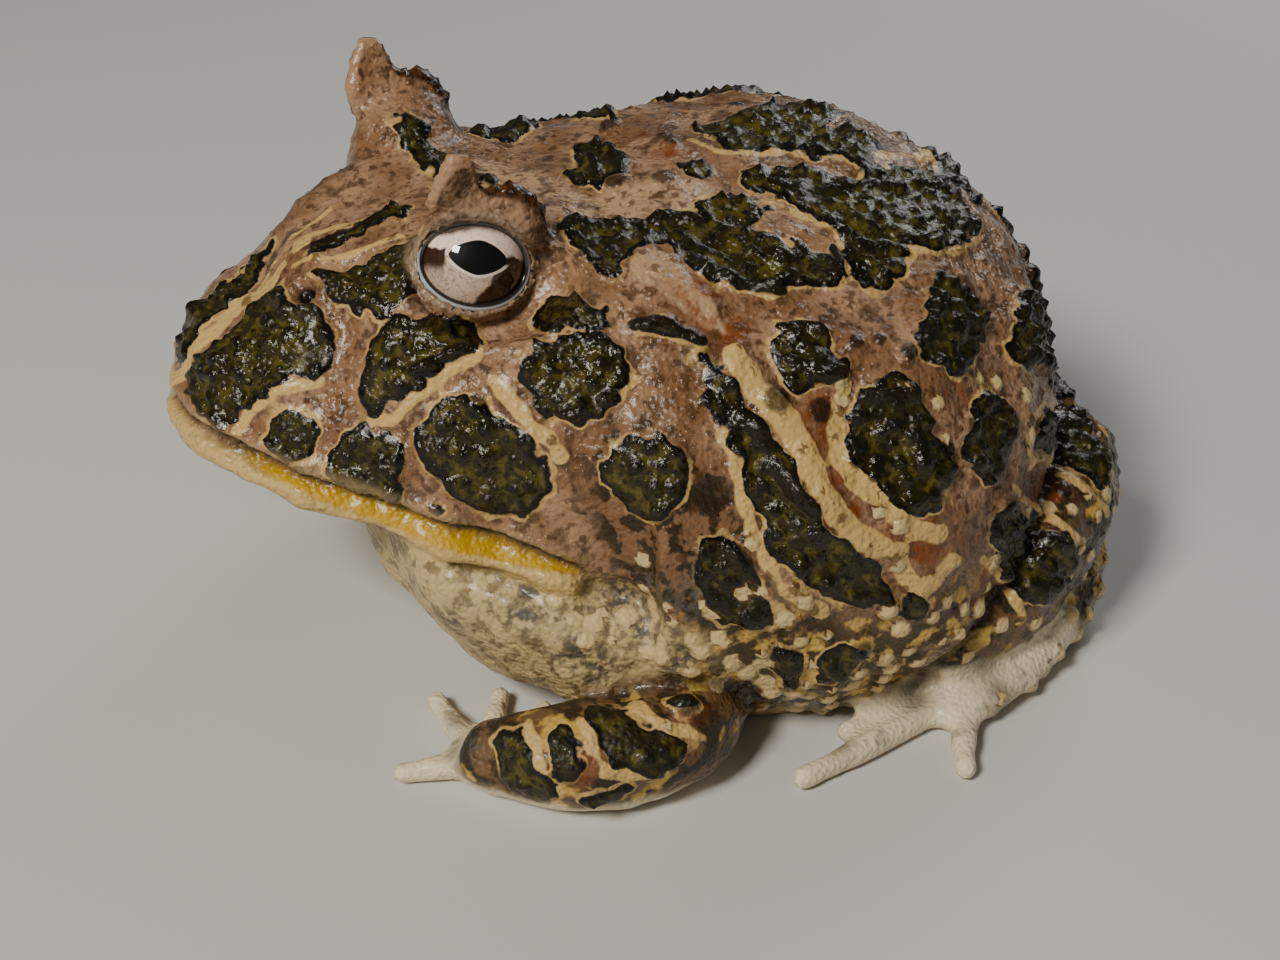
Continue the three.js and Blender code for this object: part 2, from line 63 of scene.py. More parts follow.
def from_head(back, sideways, up):
    """Points at given distances back, sideways and up along the head, from the lip of the snout."""
    back, sideways, up = np.broadcast_arrays(back, sideways, up)
    place = snout + back[..., None] * along_head + up[..., None] * up_head
    return place + sideways[..., None] * np.array([1.0, 0.0, 0.0])


def along_the_head(points):
    """The way back: how far points lie back, sideways and up from the lip of the snout."""
    offset = points - snout
    return offset @ along_head, points[..., 0], offset @ up_head


# Each eye looks outward, forward and up. Its lids leave an oval open round that line.
GAZE = np.array([-0.17, 0.88, 0.33])  # back, outward and up along the head
GAZE /= np.linalg.norm(GAZE)
LEVEL = np.cross(GAZE, [0.0, 0.0, 1.0])
LEVEL /= np.linalg.norm(LEVEL)
ACROSS = np.cross(LEVEL, GAZE)
OPENING_HALF = [0.88, 0.69]  # level and upright, in eye radii
OPENING_DROP = 0.05


def from_eye(points, side):
    """How far points lie along the gaze of an eye, level across it and up across it."""
    b, x, h = along_the_head(points)
    offset = np.stack([b - EYE_PLACE[0], side * x - EYE_PLACE[1], h - EYE_PLACE[2]], -1)
    return offset @ GAZE, offset @ LEVEL, offset @ ACROSS


OUTSIDE = 3.0  # stands for well outside the oval, on the side of the ball turned away


def out_of_opening(ahead, level_off, up_off):
    """Less than 1 inside the oval between the lids, as seen along the gaze, and more outside."""
    across = level_off / EYE_RADIUS / OPENING_HALF[0]
    upright_off = (up_off / EYE_RADIUS + OPENING_DROP) / OPENING_HALF[1]
    return np.where(ahead > 0, np.hypot(across, upright_off), OUTSIDE)


# Camera, at the photograph's view: from the frog's left front and above. Its place and lens
# come from the head, the limbs and the outline of the back.
VIEW_TURN, VIEW_RISE, VIEW_ROLL = 68.9, 31.2, 1.1
VIEW_DISTANCE = 226.1
VIEW_AIM = [0.0, -4.5, 11.7]
FOCAL_PIXELS, FRAME_WIDE, FRAME_HIGH = 1801.0, 1280, 960
SENSOR_WIDE = 36
aim = np.array(VIEW_AIM) + forward
turn, rise, roll = (math.radians(v) for v in (VIEW_TURN, VIEW_RISE, VIEW_ROLL))
toward = np.array([
    math.sin(turn) * math.cos(rise), -math.cos(turn) * math.cos(rise), math.sin(rise),
])
level = np.array([math.cos(turn), math.sin(turn), 0.0])
upright = np.cross(toward, level)
view_right = level * math.cos(roll) + upright * math.sin(roll)
view_up = upright * math.cos(roll) - level * math.sin(roll)
eye_point = aim + toward * VIEW_DISTANCE

camera = bpy.data.objects.new("camera", bpy.data.cameras.new("camera"))
bpy.context.collection.objects.link(camera)
camera.matrix_world = Matrix((
    (view_right[0], view_up[0], toward[0], eye_point[0] / 1000),
    (view_right[1], view_up[1], toward[1], eye_point[1] / 1000),
    (view_right[2], view_up[2], toward[2], eye_point[2] / 1000),
    (0, 0, 0, 1),
))
camera.data.sensor_width = SENSOR_WIDE
camera.data.lens = FOCAL_PIXELS / FRAME_WIDE * SENSOR_WIDE
camera.data.clip_start = 0.01
bpy.context.scene.camera = camera


def sight_line(pixel):
    """Direction from the camera through a pixel of the photograph."""
    across = (pixel[0] - FRAME_WIDE / 2) / FOCAL_PIXELS
    down = (pixel[1] - FRAME_HIGH / 2) / FOCAL_PIXELS
    return Vector(-toward + view_right * across - view_up * down).normalized()


# Body of the frog: head, jaws, throat, torso, lids and limbs are one skin. Each is a closed form
# of rings, in millimetres, and they run into each other before the skin is drawn over them.
def through(rows, place):
    """Smooth curve through rows of [place, values]: a cubic between rows, with the slope at a
    row the mean of the slopes on its two sides, weighted by the length of the other side."""
    rows = np.asarray(rows, float)
    knots, values = rows[:, 0], rows[:, 1:]
    place = np.clip(place, knots[0], knots[-1])
    step = np.diff(knots)[:, None]
    slope = np.diff(values, axis=0) / step
    inner = (slope[:-1] * step[1:] + slope[1:] * step[:-1]) / (step[1:] + step[:-1])
    tangent = np.vstack([slope[:1], inner, slope[-1:]])
    k = np.clip(np.searchsorted(knots, place, side="right") - 1, 0, len(knots) - 2)
    span = step[k]
    s = ((place - knots[k]) / span[..., 0])[..., None]
    start = (2 * s**3 - 3 * s**2 + 1) * values[k] + (s**3 - 2 * s**2 + s) * span * tangent[k]
    end = (3 * s**2 - 2 * s**3) * values[k + 1] + (s**3 - s**2) * span * tangent[k + 1]
    return start + end


def bulge(wave, power):
    """A sine or cosine raised to 2 / power with its sign kept: 2 is a circle, more is boxier."""
    return np.sign(wave) * np.abs(wave) ** (2 / power)


def ease(value, low, high):
    """0 below low, 1 above high, and a smooth step between."""
    t = np.clip((value - low) / (high - low), 0, 1)
    return t * t * (3 - 2 * t)


def closed_form(rings, first, last):
    """Mesh of a grid of rings, closed by a fan to one point at each end."""
    count, sides = rings.shape[:2]
    points = np.vstack([rings.reshape(-1, 3), [first], [last]])
    i, j = np.meshgrid(np.arange(count - 1), np.arange(sides), indexing="ij")
    a, b = i * sides + j, i * sides + (j + 1) % sides
    quads = np.stack([a, b, b + sides, a + sides], -1).reshape(-1, 4)
    j = np.arange(sides)
    ahead = (j + 1) % sides
    foot = (count - 1) * sides
    first_fan = np.stack([np.full(sides, count * sides), ahead, j], -1)
    last_fan = np.stack([np.full(sides, count * sides + 1), foot + j, foot + ahead], -1)
    return points, quads.tolist() + first_fan.tolist() + last_fan.tolist()


def grid(count, sides):
    """Parameter along the form, from 0 to 1, and angle round it, as two arrays."""
    angles = np.arange(sides) * 2 * np.pi / sides
    return np.meshgrid(np.linspace(0, 1, count), angles, indexing="ij")


# Head at each place back from the snout: half width at the lip and at the cheek, height of the
# cheek, half width and height of the brow, height of the crown.
HEAD_ROWS = [
    [0.0, 2.5, 2.0, 1.8, 1.2, 3.0, 3.4],
    [1.6, 9.5, 8.2, 3.8, 4.6, 6.4, 6.8],
    [4.8, 14.2, 12.4, 5.6, 7.0, 10.6, 11.2],
    [10.0, 18.3, 16.4, 8.6, 8.6, 16.6, 17.4],
    [17.0, 22.8, 20.8, 11.6, 10.6, 22.6, 23.2],
    [24.0, 27.9, 26.0, 12.8, 13.6, 25.4, 26.0],
    [31.0, 31.3, 30.4, 12.8, 17.4, 26.6, 27.0],
    [37.0, 33.8, 34.4, 12.0, 20.4, 26.6, 28.2],
    [44.0, 37.4, 38.2, 10.6, 22.4, 27.0, 29.8],
    [52.0, 40.0, 41.0, 8.0, 24.0, 27.4, 31.4],
]
# Height of the line of the mouth at each place back from the snout.
MOUTH_ROWS = [
    [-2, 0], [5, -0.3], [10, -0.6], [17, -1.0], [24, -1.7], [31, -2.4], [37, -3.3], [54, -5.5],
]
HEAD_END = 50.0
RING_CROWDING = 1.5  # rings lie closer together towards the snout
SECTION_MARKS = np.array([0, 0.34, 0.72, 1.0])  # lip, cheek, brow and crown along a half section
UNDER_LIP_POWER = 2.6
FLAT_SAG = 0.4  # how little the flat sides bulge that head and jaw turn to each other


def mouth_height(back):
    """Height of the line of the mouth at a place back from the snout."""
    return through(MOUTH_ROWS, back)[..., 0]


def head_form():
    """Half sections from the lip over cheek and brow to the crown, as a smooth curve of the
    angle; under the lip line the section is closed flat."""
    u, angle = grid(70, 120)
    back = HEAD_END * u**RING_CROWDING
    lip, cheek, cheek_up, brow, brow_up, crown = np.moveaxis(through(HEAD_ROWS, back), -1, 0)
    low = mouth_height(back)
    wave = np.sin(angle)
    share = np.where(angle <= np.pi / 2, angle, np.pi - angle) / (np.pi / 2)
    wide = np.stack([lip, cheek, brow, lip * 0], -1)
    high = np.stack([low, cheek_up, brow_up, crown], -1)
    across, up = section_curve(SECTION_MARKS, wide, high, np.clip(share, 0, 1))
    side = np.where(np.cos(angle) >= 0, 1, -1)
    under = bulge(np.cos(angle), UNDER_LIP_POWER) * lip
    sideways = np.where(wave < 0, under, across * side)
    up = np.where(wave < 0, low + FLAT_SAG * wave, up)
    first, last = from_head(-0.5, 0, 1.4), from_head(HEAD_END, 0, 10)
    return closed_form(from_head(back, sideways, up), first, last)


def section_curve(knots, wide, high, share):
    """Cubic through the four marks of a section, at a share of the way from lip to crown."""
    out = []
    for marks in (wide, high):
        slope = np.diff(marks, axis=-1) / np.diff(knots)
        span = np.diff(knots)
        inner = (slope[..., :-1] * span[1:] + slope[..., 1:] * span[:-1]) / (span[1:] + span[:-1])
        tangent = np.concatenate([slope[..., :1], inner, slope[..., -1:]], -1)
        k = np.clip(np.searchsorted(knots, share, side="right") - 1, 0, 2)
        pick = lambda field, n: np.take_along_axis(field, n[..., None], -1)[..., 0]
        h = span[k]
        s = (share - knots[k]) / h
        out.append((2 * s**3 - 3 * s**2 + 1) * pick(marks, k)
                   + (s**3 - 2 * s**2 + s) * h * pick(tangent, k)
                   + (3 * s**2 - 2 * s**3) * pick(marks, k + 1)
                   + (s**3 - s**2) * h * pick(tangent, k + 1))
    return out


JAW_ROWS = [[0, -0.2, 3.6], [8, 0.2, 4.6], [25, 0.6, 5.2], [50, 1.2, 8]]  # back, inset, depth
JAW_START, JAW_GAP, JAW_DEEPER = 0.4, 0.2, 0.8
JAW_TOP_POWER, JAW_UNDER_POWER = 3.4, 2.3


def jaw_form():
    """Shallow dish under the line of the mouth: flat above, half a superellipse below."""
    u, angle = grid(60, 100)
    back = JAW_START + (HEAD_END - 1) * u**RING_CROWDING
    lip = through(HEAD_ROWS, back)[..., 0]
    inset, depth = np.moveaxis(through(JAW_ROWS, back), -1, 0)
    wave = np.sin(angle)
    boxy, rounder = bulge(np.cos(angle), JAW_TOP_POWER), bulge(np.cos(angle), JAW_UNDER_POWER)
    sideways = (lip - inset) * np.where(wave > 0, boxy, rounder)
    above, under = FLAT_SAG * bulge(wave, JAW_TOP_POWER), (depth + JAW_DEEPER) * bulge(wave, 2)
    up = mouth_height(back) - JAW_GAP + np.where(wave > 0, above, under)
    first, last = from_head(-0.1, 0, -1.4), from_head(HEAD_END - 0.6, 0, -5)
    return closed_form(from_head(back, sideways, up), first, last)


# Throat: y, half width, height of the bottom and of the top.
THROAT_ROWS = [
    [-41.6, 13, 19.5, 27], [-39.5, 21, 12.6, 26.5], [-36, 27.6, 6.4, 26], [-32, 32, 2.4, 26],
    [-26, 36.4, -0.4, 25], [-18, 39.8, -2.4, 25], [-8, 42.5, -3.5, 24],
]
THROAT_WIDEST, THROAT_POWER = 0.62, 2.2


def throat_form():
    """Sac of superellipse sections across the body, from the chin back to the chest."""
    u, angle = grid(40, 100)
    front, rear = THROAT_ROWS[0][0], THROAT_ROWS[-1][0]
    y = front + (rear - front) * u**1.2
    half, bottom, top = np.moveaxis(through(THROAT_ROWS, y), -1, 0)
    middle = bottom + (top - bottom) * THROAT_WIDEST
    reach = np.where(np.sin(angle) > 0, top - middle, middle - bottom)
    z = middle + reach * bulge(np.sin(angle), THROAT_POWER)
    rings = np.stack([half * bulge(np.cos(angle), THROAT_POWER), y, z], -1) + forward
    return closed_form(rings, np.array([0, -42.6, 24]) + forward, np.array([0, -8, 12]) + forward)


# Torso: y, half width, height of the back; and how far the belly sags below the floor's level.
TORSO_ROWS = [[-24, 39, 52.8], [-17, 41, 54], [-8, 43.4, 55.4], [4, 45.5, 56], [60, 45.5, 56]]
SAG_ROWS = [[-24, 3], [-10, 7], [14, 7], [28, 2], [50, 0]]
TORSO_FRONT, TORSO_RUMP, TORSO_LONG = -17.5, 46.5, 63.9
TORSO_WIDEST = 19.0  # height above the floor
CLOSING_FROM = 8  # behind it the torso closes like a dome
CLOSE_SIDE, CLOSE_BACK, CLOSE_BELLY = 1.74, 2.4, 2.3
BACK_POWER, BELLY_POWER = 2.25, 2.35


def torso_form():
    """Superellipse sections that close like a dome towards the rump; the belly sags and is cut
    off by the floor."""
    u, angle = grid(80, 130)
    y = TORSO_FRONT + TORSO_LONG * np.sin(u * np.pi / 2) ** 1.1
    rear = np.clip((y - CLOSING_FROM) / (TORSO_RUMP - CLOSING_FROM), 0, 1)
    close = lambda power: (1 - rear**power) ** (1 / power)
    half, crest = np.moveaxis(through(TORSO_ROWS, y), -1, 0)
    sag = through(SAG_ROWS, y)[..., 0]
    wave = np.sin(angle)
    above, below = crest - TORSO_WIDEST, TORSO_WIDEST + sag
    high = np.where(wave > 0, above * close(CLOSE_BACK), below * close(CLOSE_BELLY))
    power = np.where(wave > 0, BACK_POWER, BELLY_POWER)
    x = half * close(CLOSE_SIDE) * bulge(np.cos(angle), power)
    rings = np.stack([x, y, TORSO_WIDEST + high * bulge(wave, power)], -1)
    first, last = [0, TORSO_FRONT - 0.1, TORSO_WIDEST], [0, TORSO_RUMP, TORSO_WIDEST]
    return closed_form(rings + forward, first + forward, last + forward)


CAP_RINGS = 8


def limb_form(stations, side, count=44, sides=36):
    """Round limb along stations of [x, y, z, half width, half height]: ellipses square to a
    smooth path, with a half round cap at each end. side is 1 for left and -1 for right."""
    stations = np.asarray(stations, float)
    chord = np.linalg.norm(np.diff(stations[:, :3], axis=0), axis=1) ** 0.5
    knots = np.concatenate([[0], np.cumsum(chord)])
    knots /= knots[-1]
    rows = np.column_stack([knots, stations])
    swell = np.ones(count + 2 * CAP_RINGS)
    t = np.concatenate([np.zeros(CAP_RINGS), np.linspace(0, 1, count), np.ones(CAP_RINGS)])
    rim = np.arange(1, CAP_RINGS + 1) / (CAP_RINGS + 1)
    swell[:CAP_RINGS], swell[-CAP_RINGS:] = rim, rim[::-1]
    ends = np.concatenate([-np.ones(CAP_RINGS), np.zeros(count), np.ones(CAP_RINGS)])
    path = through(rows, t)
    beyond, before = (through(rows, np.clip(t + nudge, 0, 1))[:, :3] for nudge in (1e-3, -1e-3))
    ahead = beyond - before
    ahead /= np.linalg.norm(ahead, axis=1)[:, None]
    across = np.cross([0, 0, 1.0], ahead)
    across /= np.linalg.norm(across, axis=1)[:, None]
    lift = np.cross(ahead, across)
    wide, high = path[:, 3], path[:, 4]
    small = np.minimum(wide, high)
    scale = np.sin(swell * np.pi / 2)
    centre = path[:, :3] + ahead * (ends * small * np.cos(swell * np.pi / 2))[:, None]
    angle = np.arange(sides) * 2 * np.pi / sides
    level_part = across[:, None] * ((wide * scale)[:, None] * np.cos(angle))[..., None]
    upright_part = lift[:, None] * ((high * scale)[:, None] * np.sin(angle))[..., None]
    rings = centre[:, None] + level_part + upright_part
    first = path[0, :3] - ahead[0] * small[0]
    last = path[-1, :3] + ahead[-1] * small[-1]
    mirror = np.array([side, 1, 1])
    points, faces = closed_form(rings * mirror, first * mirror, last * mirror)
    if side < 0:
        faces = [face[::-1] for face in faces]
    return points + forward, faces


# Left limbs, as stations of limb_form; fingers and toes lie on the floor, as [x, y].
UPPER_ARM = [[35, -8.6, 7.5, 5.2, 5.6], [40, -13.6, 6.2, 5.8, 6.0], [42.4, -19.6, 5.8, 5.8, 6.0]]
FOREARM = [[42.8, -22.4, 5.8, 5.6, 6.0], [40.6, -28.6, 5.8, 5.8, 6.0], [36.6, -34.0, 4.2, 4.4, 4.5]]
PALM = [[36.6, -34.0, 3.0, 3.8, 3.2], [34.0, -35.4, 2.4, 4.0, 2.7], [31.8, -35.6, 1.9, 3.6, 2.1]]
FINGERS = [
    [[34.0, -36.0], [33.0, -40.6], [32.4, -43.6]],
    [[31.4, -35.6], [25.8, -36.6], [21.6, -37.0]],
    [[31.6, -34.2], [27.0, -31.8], [23.2, -30.0]],
    [[33.4, -33.2], [30.2, -28.8], [27.4, -26.0]],
]
THIGH = [[10, 41.0, 19, 5, 6.5], [18, 40.4, 20.5, 5.6, 7.0], [27, 34.0, 17.5, 6.4, 7.6],
         [34, 25.0, 13.0, 5.6, 6.6]]
SHANK = [[38.4, 17.4, 8.2, 4.6, 5.6], [36.8, 24.2, 10.6, 6.0, 7.4], [32.4, 33.0, 13.4, 6.4, 8.4],
         [26.4, 40.4, 16.6, 6.0, 8.2], [21.8, 43.8, 18.6, 5.0, 6.8]]
FOOT = [[23.6, 44.6, 9.4, 3.6, 4.6], [29.6, 40.4, 5.4, 4.0, 4.6], [35.2, 32.8, 3.5, 4.2, 3.6],
        [39.2, 25.6, 2.8, 4.4, 3.1], [41.4, 19.6, 2.4, 4.8, 2.6], [42.6, 15.8, 2.0, 4.4, 2.1]]
TOES = [
    [[37.6, 24.0], [35.6, 20.4], [34.4, 17.6]],
    [[38.8, 19.6], [37.4, 13.2], [37.2, 9.8]],
    [[40.2, 17.0], [40.8, 9.6], [42.2, 4.6]],
    [[42.0, 16.6], [45.6, 4.6], [47.6, -3.4]],
    [[43.6, 19.0], [48.6, 15.6], [52.0, 14.0]],
]
FINGER_RADIUS, TOE_RADIUS = 1.75, 1.9
GIRTH = np.array([1.0, 0.9, 0.93, 0.78, 0.8])  # of a digit, in its radius, from root to tip
FLATTENING = 0.96


def digit_stations(points, radius):
    """Stations of a finger that lies on the floor: it narrows along its length, swells a little
    at the joint and again at the soft tip."""
    root, joint, tip = (np.array(point) for point in points)
    places = [root, (root + joint) / 2, joint, (joint + tip) / 2, tip]
    return [[x, y, r - 0.1, r, r * FLATTENING] for (x, y), r in zip(places, GIRTH * radius)]


# Upper and lower lid: middle from the eye's middle and half sizes, each back, outward and up,
# and how much the lid leans up outward.
LIDS = [((0.4, -0.2, 0.6), (6.9, 7.2, 7.3), 0.34), ((0.0, -0.6, -0.8), (6.9, 6.6, 6.5), 0.0)]


def lid_forms(side):
    """Ellipsoids round the ball. The upper one leans up outward and makes the brow, and the
    lower one is a low swelling. The opening between them is carved once the skin is drawn."""
    back, sideways, up = EYE_PLACE
    forms = []
    for centre, halves, lean in LIDS:
        u, angle = grid(40, 60)
        lift = -np.pi / 2 + np.pi * (u * 38 + 1) / 40
        b = back + centre[0] + halves[0] * np.cos(lift) * np.sin(angle)
        x = sideways + centre[1] + halves[1] * np.cos(lift) * np.cos(angle)
        h = up + centre[2] + halves[2] * np.sin(lift) + lean * (x - sideways)
        rings = from_head(b, side * x, h)
        forms.append(closed_form(rings[:, ::side], rings[0].mean(0), rings[-1].mean(0)))
    return forms


# Crest of the lid: place back from the eye, height of its top above the eye's middle.
CREST_ROWS = [[-6.7, 7.2], [-6.4, 10.4], [-5.6, 12.4], [-4.4, 13.0], [-3.2, 12.6], [-2.0, 11.0],
              [-1.1, 9.8], [0.2, 9.6], [1.6, 9.3], [2.9, 8.7], [4.0, 7.7], [5.0, 6.2], [6.2, 4.4]]
CREST_FOOT = 4.6
CREST_OUT, CREST_LEAN, CREST_LEANS_FROM = 3.0, 0.30, 5
CREST_THICK, CREST_THINNING = 1.75, 0.95


def crest_out(height):
    """How far out from the eye's middle the crest stands at a height above it."""
    return CREST_OUT + CREST_LEAN * (height - CREST_LEANS_FROM)


def crest_form(side):
    """Thin upright flap along the upper lid, of ellipses from its foot to its top that lean
    outward. It is tall and round in front, where it makes the horn, and falls away behind."""
    eye_back, sideways, up = EYE_PLACE
    u, angle = grid(90, 40)
    b = CREST_ROWS[0][0] + (CREST_ROWS[-1][0] - CREST_ROWS[0][0]) * u
    top = through(CREST_ROWS, b)[..., 0]
    half = np.maximum(top - CREST_FOOT, 0.4) / 2
    h = CREST_FOOT + half * (1 + np.sin(angle))
    round_ends = np.sqrt(np.clip(1 - (2 * u - 1) ** 8, 0.05, 1))
    thick = (CREST_THICK - CREST_THINNING * ease(h, 5, 12)) * round_ends
    x = crest_out(h) + thick * np.cos(angle)
    rings = from_head(eye_back + b, side * (sideways + x), up + h)
    return closed_form(rings[:, ::side], rings[0].mean(0), rings[-1].mean(0))


def lip_form(outset, rise, radius, last):
    """Round lip from one corner of the mouth over the snout to the other: a circle carried along
    the line of the mouth, at an outset from it and a rise above it."""
    t = np.linspace(-1, 1, 161)
    b = last * np.abs(t) ** 1.6
    x = np.sign(t) * (through(HEAD_ROWS, b)[:, 0] + outset)
    path = from_head(b, x, mouth_height(b) + rise)
    ahead = np.gradient(path, axis=0)
    ahead /= np.linalg.norm(ahead, axis=1)[:, None]
    outward = np.cross(ahead, up_head)
    outward /= np.linalg.norm(outward, axis=1)[:, None]
    angle = np.arange(20)[:, None] * 2 * np.pi / 20
    circle = outward[:, None] * np.cos(angle) + up_head * np.sin(angle)
    rings = path[:, None] + radius * circle
    return closed_form(rings, path[0] - ahead[0] * 0.5, path[-1] + ahead[-1] * 0.5)


def joined_mesh(forms, name):
    """One mesh of several forms, in metres."""
    points, faces, start = [], [], 0
    for form_points, form_faces in forms:
        points.append(form_points)
        faces += [[start + corner for corner in face] for face in form_faces]
        start += len(form_points)
    mesh = bpy.data.meshes.new(name)
    mesh.from_pydata((np.vstack(points) / 1000).tolist(), [], faces)
    mesh.update()
    return mesh


def limb_forms(side):
    """The six large forms of an arm and a leg, and then the fingers and toes."""
    forms = [limb_form(rows, side) for rows in (UPPER_ARM, FOREARM, PALM, THIGH, SHANK, FOOT)]
    for digits, radius in ((FINGERS, FINGER_RADIUS), (TOES, TOE_RADIUS)):
        forms += [limb_form(digit_stations(digit, radius), side, 24, 20) for digit in digits]
    return forms


UPPER_LIP = dict(outset=-0.9, rise=1.0, radius=1.15, last=36)
LOWER_LIP = dict(outset=-1.0, rise=-2.3, radius=1.5, last=37)
jaw, throat = jaw_form(), throat_form()
torso = torso_form()
trunk_forms = [head_form(), jaw, throat, torso]
trunk_forms += lid_forms(1) + [crest_form(1)] + lid_forms(-1) + [crest_form(-1)]
trunk_forms += [lip_form(**UPPER_LIP), lip_form(**LOWER_LIP)]
left_limbs, right_limbs = limb_forms(1), limb_forms(-1)

SKIN_STEP = 0.000665  # size of the skin's facets, in metres


def drawn_over(mesh):
    """One closed skin over all the forms, of nearly square facets."""
    rough = bpy.data.objects.new("forms", mesh)
    bpy.context.collection.objects.link(rough)
    cover = rough.modifiers.new("cover", "REMESH")
    cover.mode = "VOXEL"
    cover.voxel_size = SKIN_STEP * 1
    cover.adaptivity = 0
    settled = rough.evaluated_get(bpy.context.evaluated_depsgraph_get())
    shape = bpy.data.meshes.new_from_object(settled)
    bpy.data.objects.remove(rough)
    shape.name = "frog_skin"
    return shape


all_forms = joined_mesh(trunk_forms + left_limbs + right_limbs, "forms")
skin = bpy.data.objects.new("frog_skin", drawn_over(all_forms))
bpy.context.collection.objects.link(skin)
skin_mesh = skin.data


def read_vectors(mesh, what):
    """A vector of every vertex: its place, "co", in metres, or its "normal"."""
    flat = np.empty(len(mesh.vertices) * 3)
    mesh.vertices.foreach_get(what, flat)
    return flat.reshape(-1, 3)


def write_points(mesh, points):
    """Moves the vertices to points in millimetres."""
    mesh.vertices.foreach_set("co", (points / 1000).ravel())
    mesh.update()


edges = np.empty(len(skin_mesh.edges) * 2, np.int64)
skin_mesh.edges.foreach_get("vertices", edges)
edges = edges.reshape(-1, 2)
valence = np.bincount(edges.ravel(), minlength=len(skin_mesh.vertices))[:, None]


def neighbours_mean(values):
    """Mean of the values of a point's neighbours along the edges."""
    total = np.zeros_like(values)
    for c in range(values.shape[1]):
        total[:, c] = np.bincount(edges[:, 0], values[edges[:, 1], c], len(values))
        total[:, c] += np.bincount(edges[:, 1], values[edges[:, 0], c], len(values))
    return total / valence


RELAX_SHARE, RELAX_BACK = 0.5, 0.53


def relaxed(points, rounds):
    """Points moved part of the way to the mean of their neighbours, and then a little more back,
    so that the skin grows smooth without shrinking."""
    for _ in range(rounds):
        points = points + RELAX_SHARE * (neighbours_mean(points) - points)
        points = points - RELAX_BACK * (neighbours_mean(points) - points)
    return points


BEHIND_BALL = 0.8  # how far the skin lies inside the ball, in front of the opening
RIM_AHEAD = 0.6  # how far the edge of the opening stands off the ball
CLEAR_OF_BALL = 0.45  # how far the skin beside the opening stays off the ball
LID_STEEP, BROW_STEEPER = 0.8, 4.0  # slope of the skin away from the opening
EDGE_FROM, EDGE_TO, CARVED_TO = 1.0, 1.12, 1.9  # as out_of_opening measures
EYE_ASIDE, EYE_AHEAD = 11, 16  # reach of the carving, in millimetres


def gaze_in_space(side):
    """The gaze as a direction in space."""
    return from_head(GAZE[0], side * GAZE[1], GAZE[2]) - snout


def carved(points):
    """Skin in front of each eye's opening is drawn in behind the ball, skin round the opening
    slopes up from its edge, and skin beside the ball stands clear of it."""
    for side in (1, -1):
        ahead, level_off, up_off = from_eye(points, side)
        out = out_of_opening(ahead, level_off, up_off)
        aside = np.hypot(level_off, up_off)
        behind_ball = np.sqrt(np.clip((EYE_RADIUS - BEHIND_BALL) ** 2 - aside**2, 0, None))
        rim_ahead = np.sqrt(np.clip((EYE_RADIUS + RIM_AHEAD) ** 2 - aside**2, 0.1, None))
        slope = LID_STEEP + BROW_STEEPER * ease(up_off, 2.0, 3.5)
        top = rim_ahead + slope * EYE_RADIUS * np.clip(out - 1, 0, None)
        up_slope = ease(out, EDGE_FROM, EDGE_TO)
        goal = behind_ball + (np.minimum(ahead, top) - behind_ball) * up_slope
        goal = np.where(out < CARVED_TO, goal, ahead)
        near = (ahead > 0) & (aside < EYE_ASIDE) & (ahead < EYE_AHEAD)
        moved = points + np.where(near, goal - ahead, 0)[:, None] * gaze_in_space(side)
        ahead, level_off, up_off = from_eye(moved, side)
        reach = np.sqrt(ahead**2 + level_off**2 + up_off**2)
        clear = EYE_RADIUS + CLEAR_OF_BALL
        push = np.where((out > 1.06) & (reach < clear), clear / reach, 1)
        centre = from_head(EYE_PLACE[0], side * EYE_PLACE[1], EYE_PLACE[2])
        points = centre + (moved - centre) * push[:, None]
    return points


points = relaxed(read_vectors(skin_mesh, "co") * 1000, 3)
points = relaxed(carved(points), 3)
points = carved(points)
points[:, 2] = np.maximum(points[:, 2], 0.0)
write_points(skin_mesh, points)
polygons = [list(p.vertices) for p in skin_mesh.polygons]
target = BVHTree.FromPolygons([Vector(p) for p in points], polygons)


def on_skin(pixel):
    """Point of the skin that a pixel of the photograph shows, and its normal."""
    place, normal, _, _ = target.ray_cast(Vector(eye_point), sight_line(pixel))
    return (np.array(place), np.array(normal)) if place is not None else None


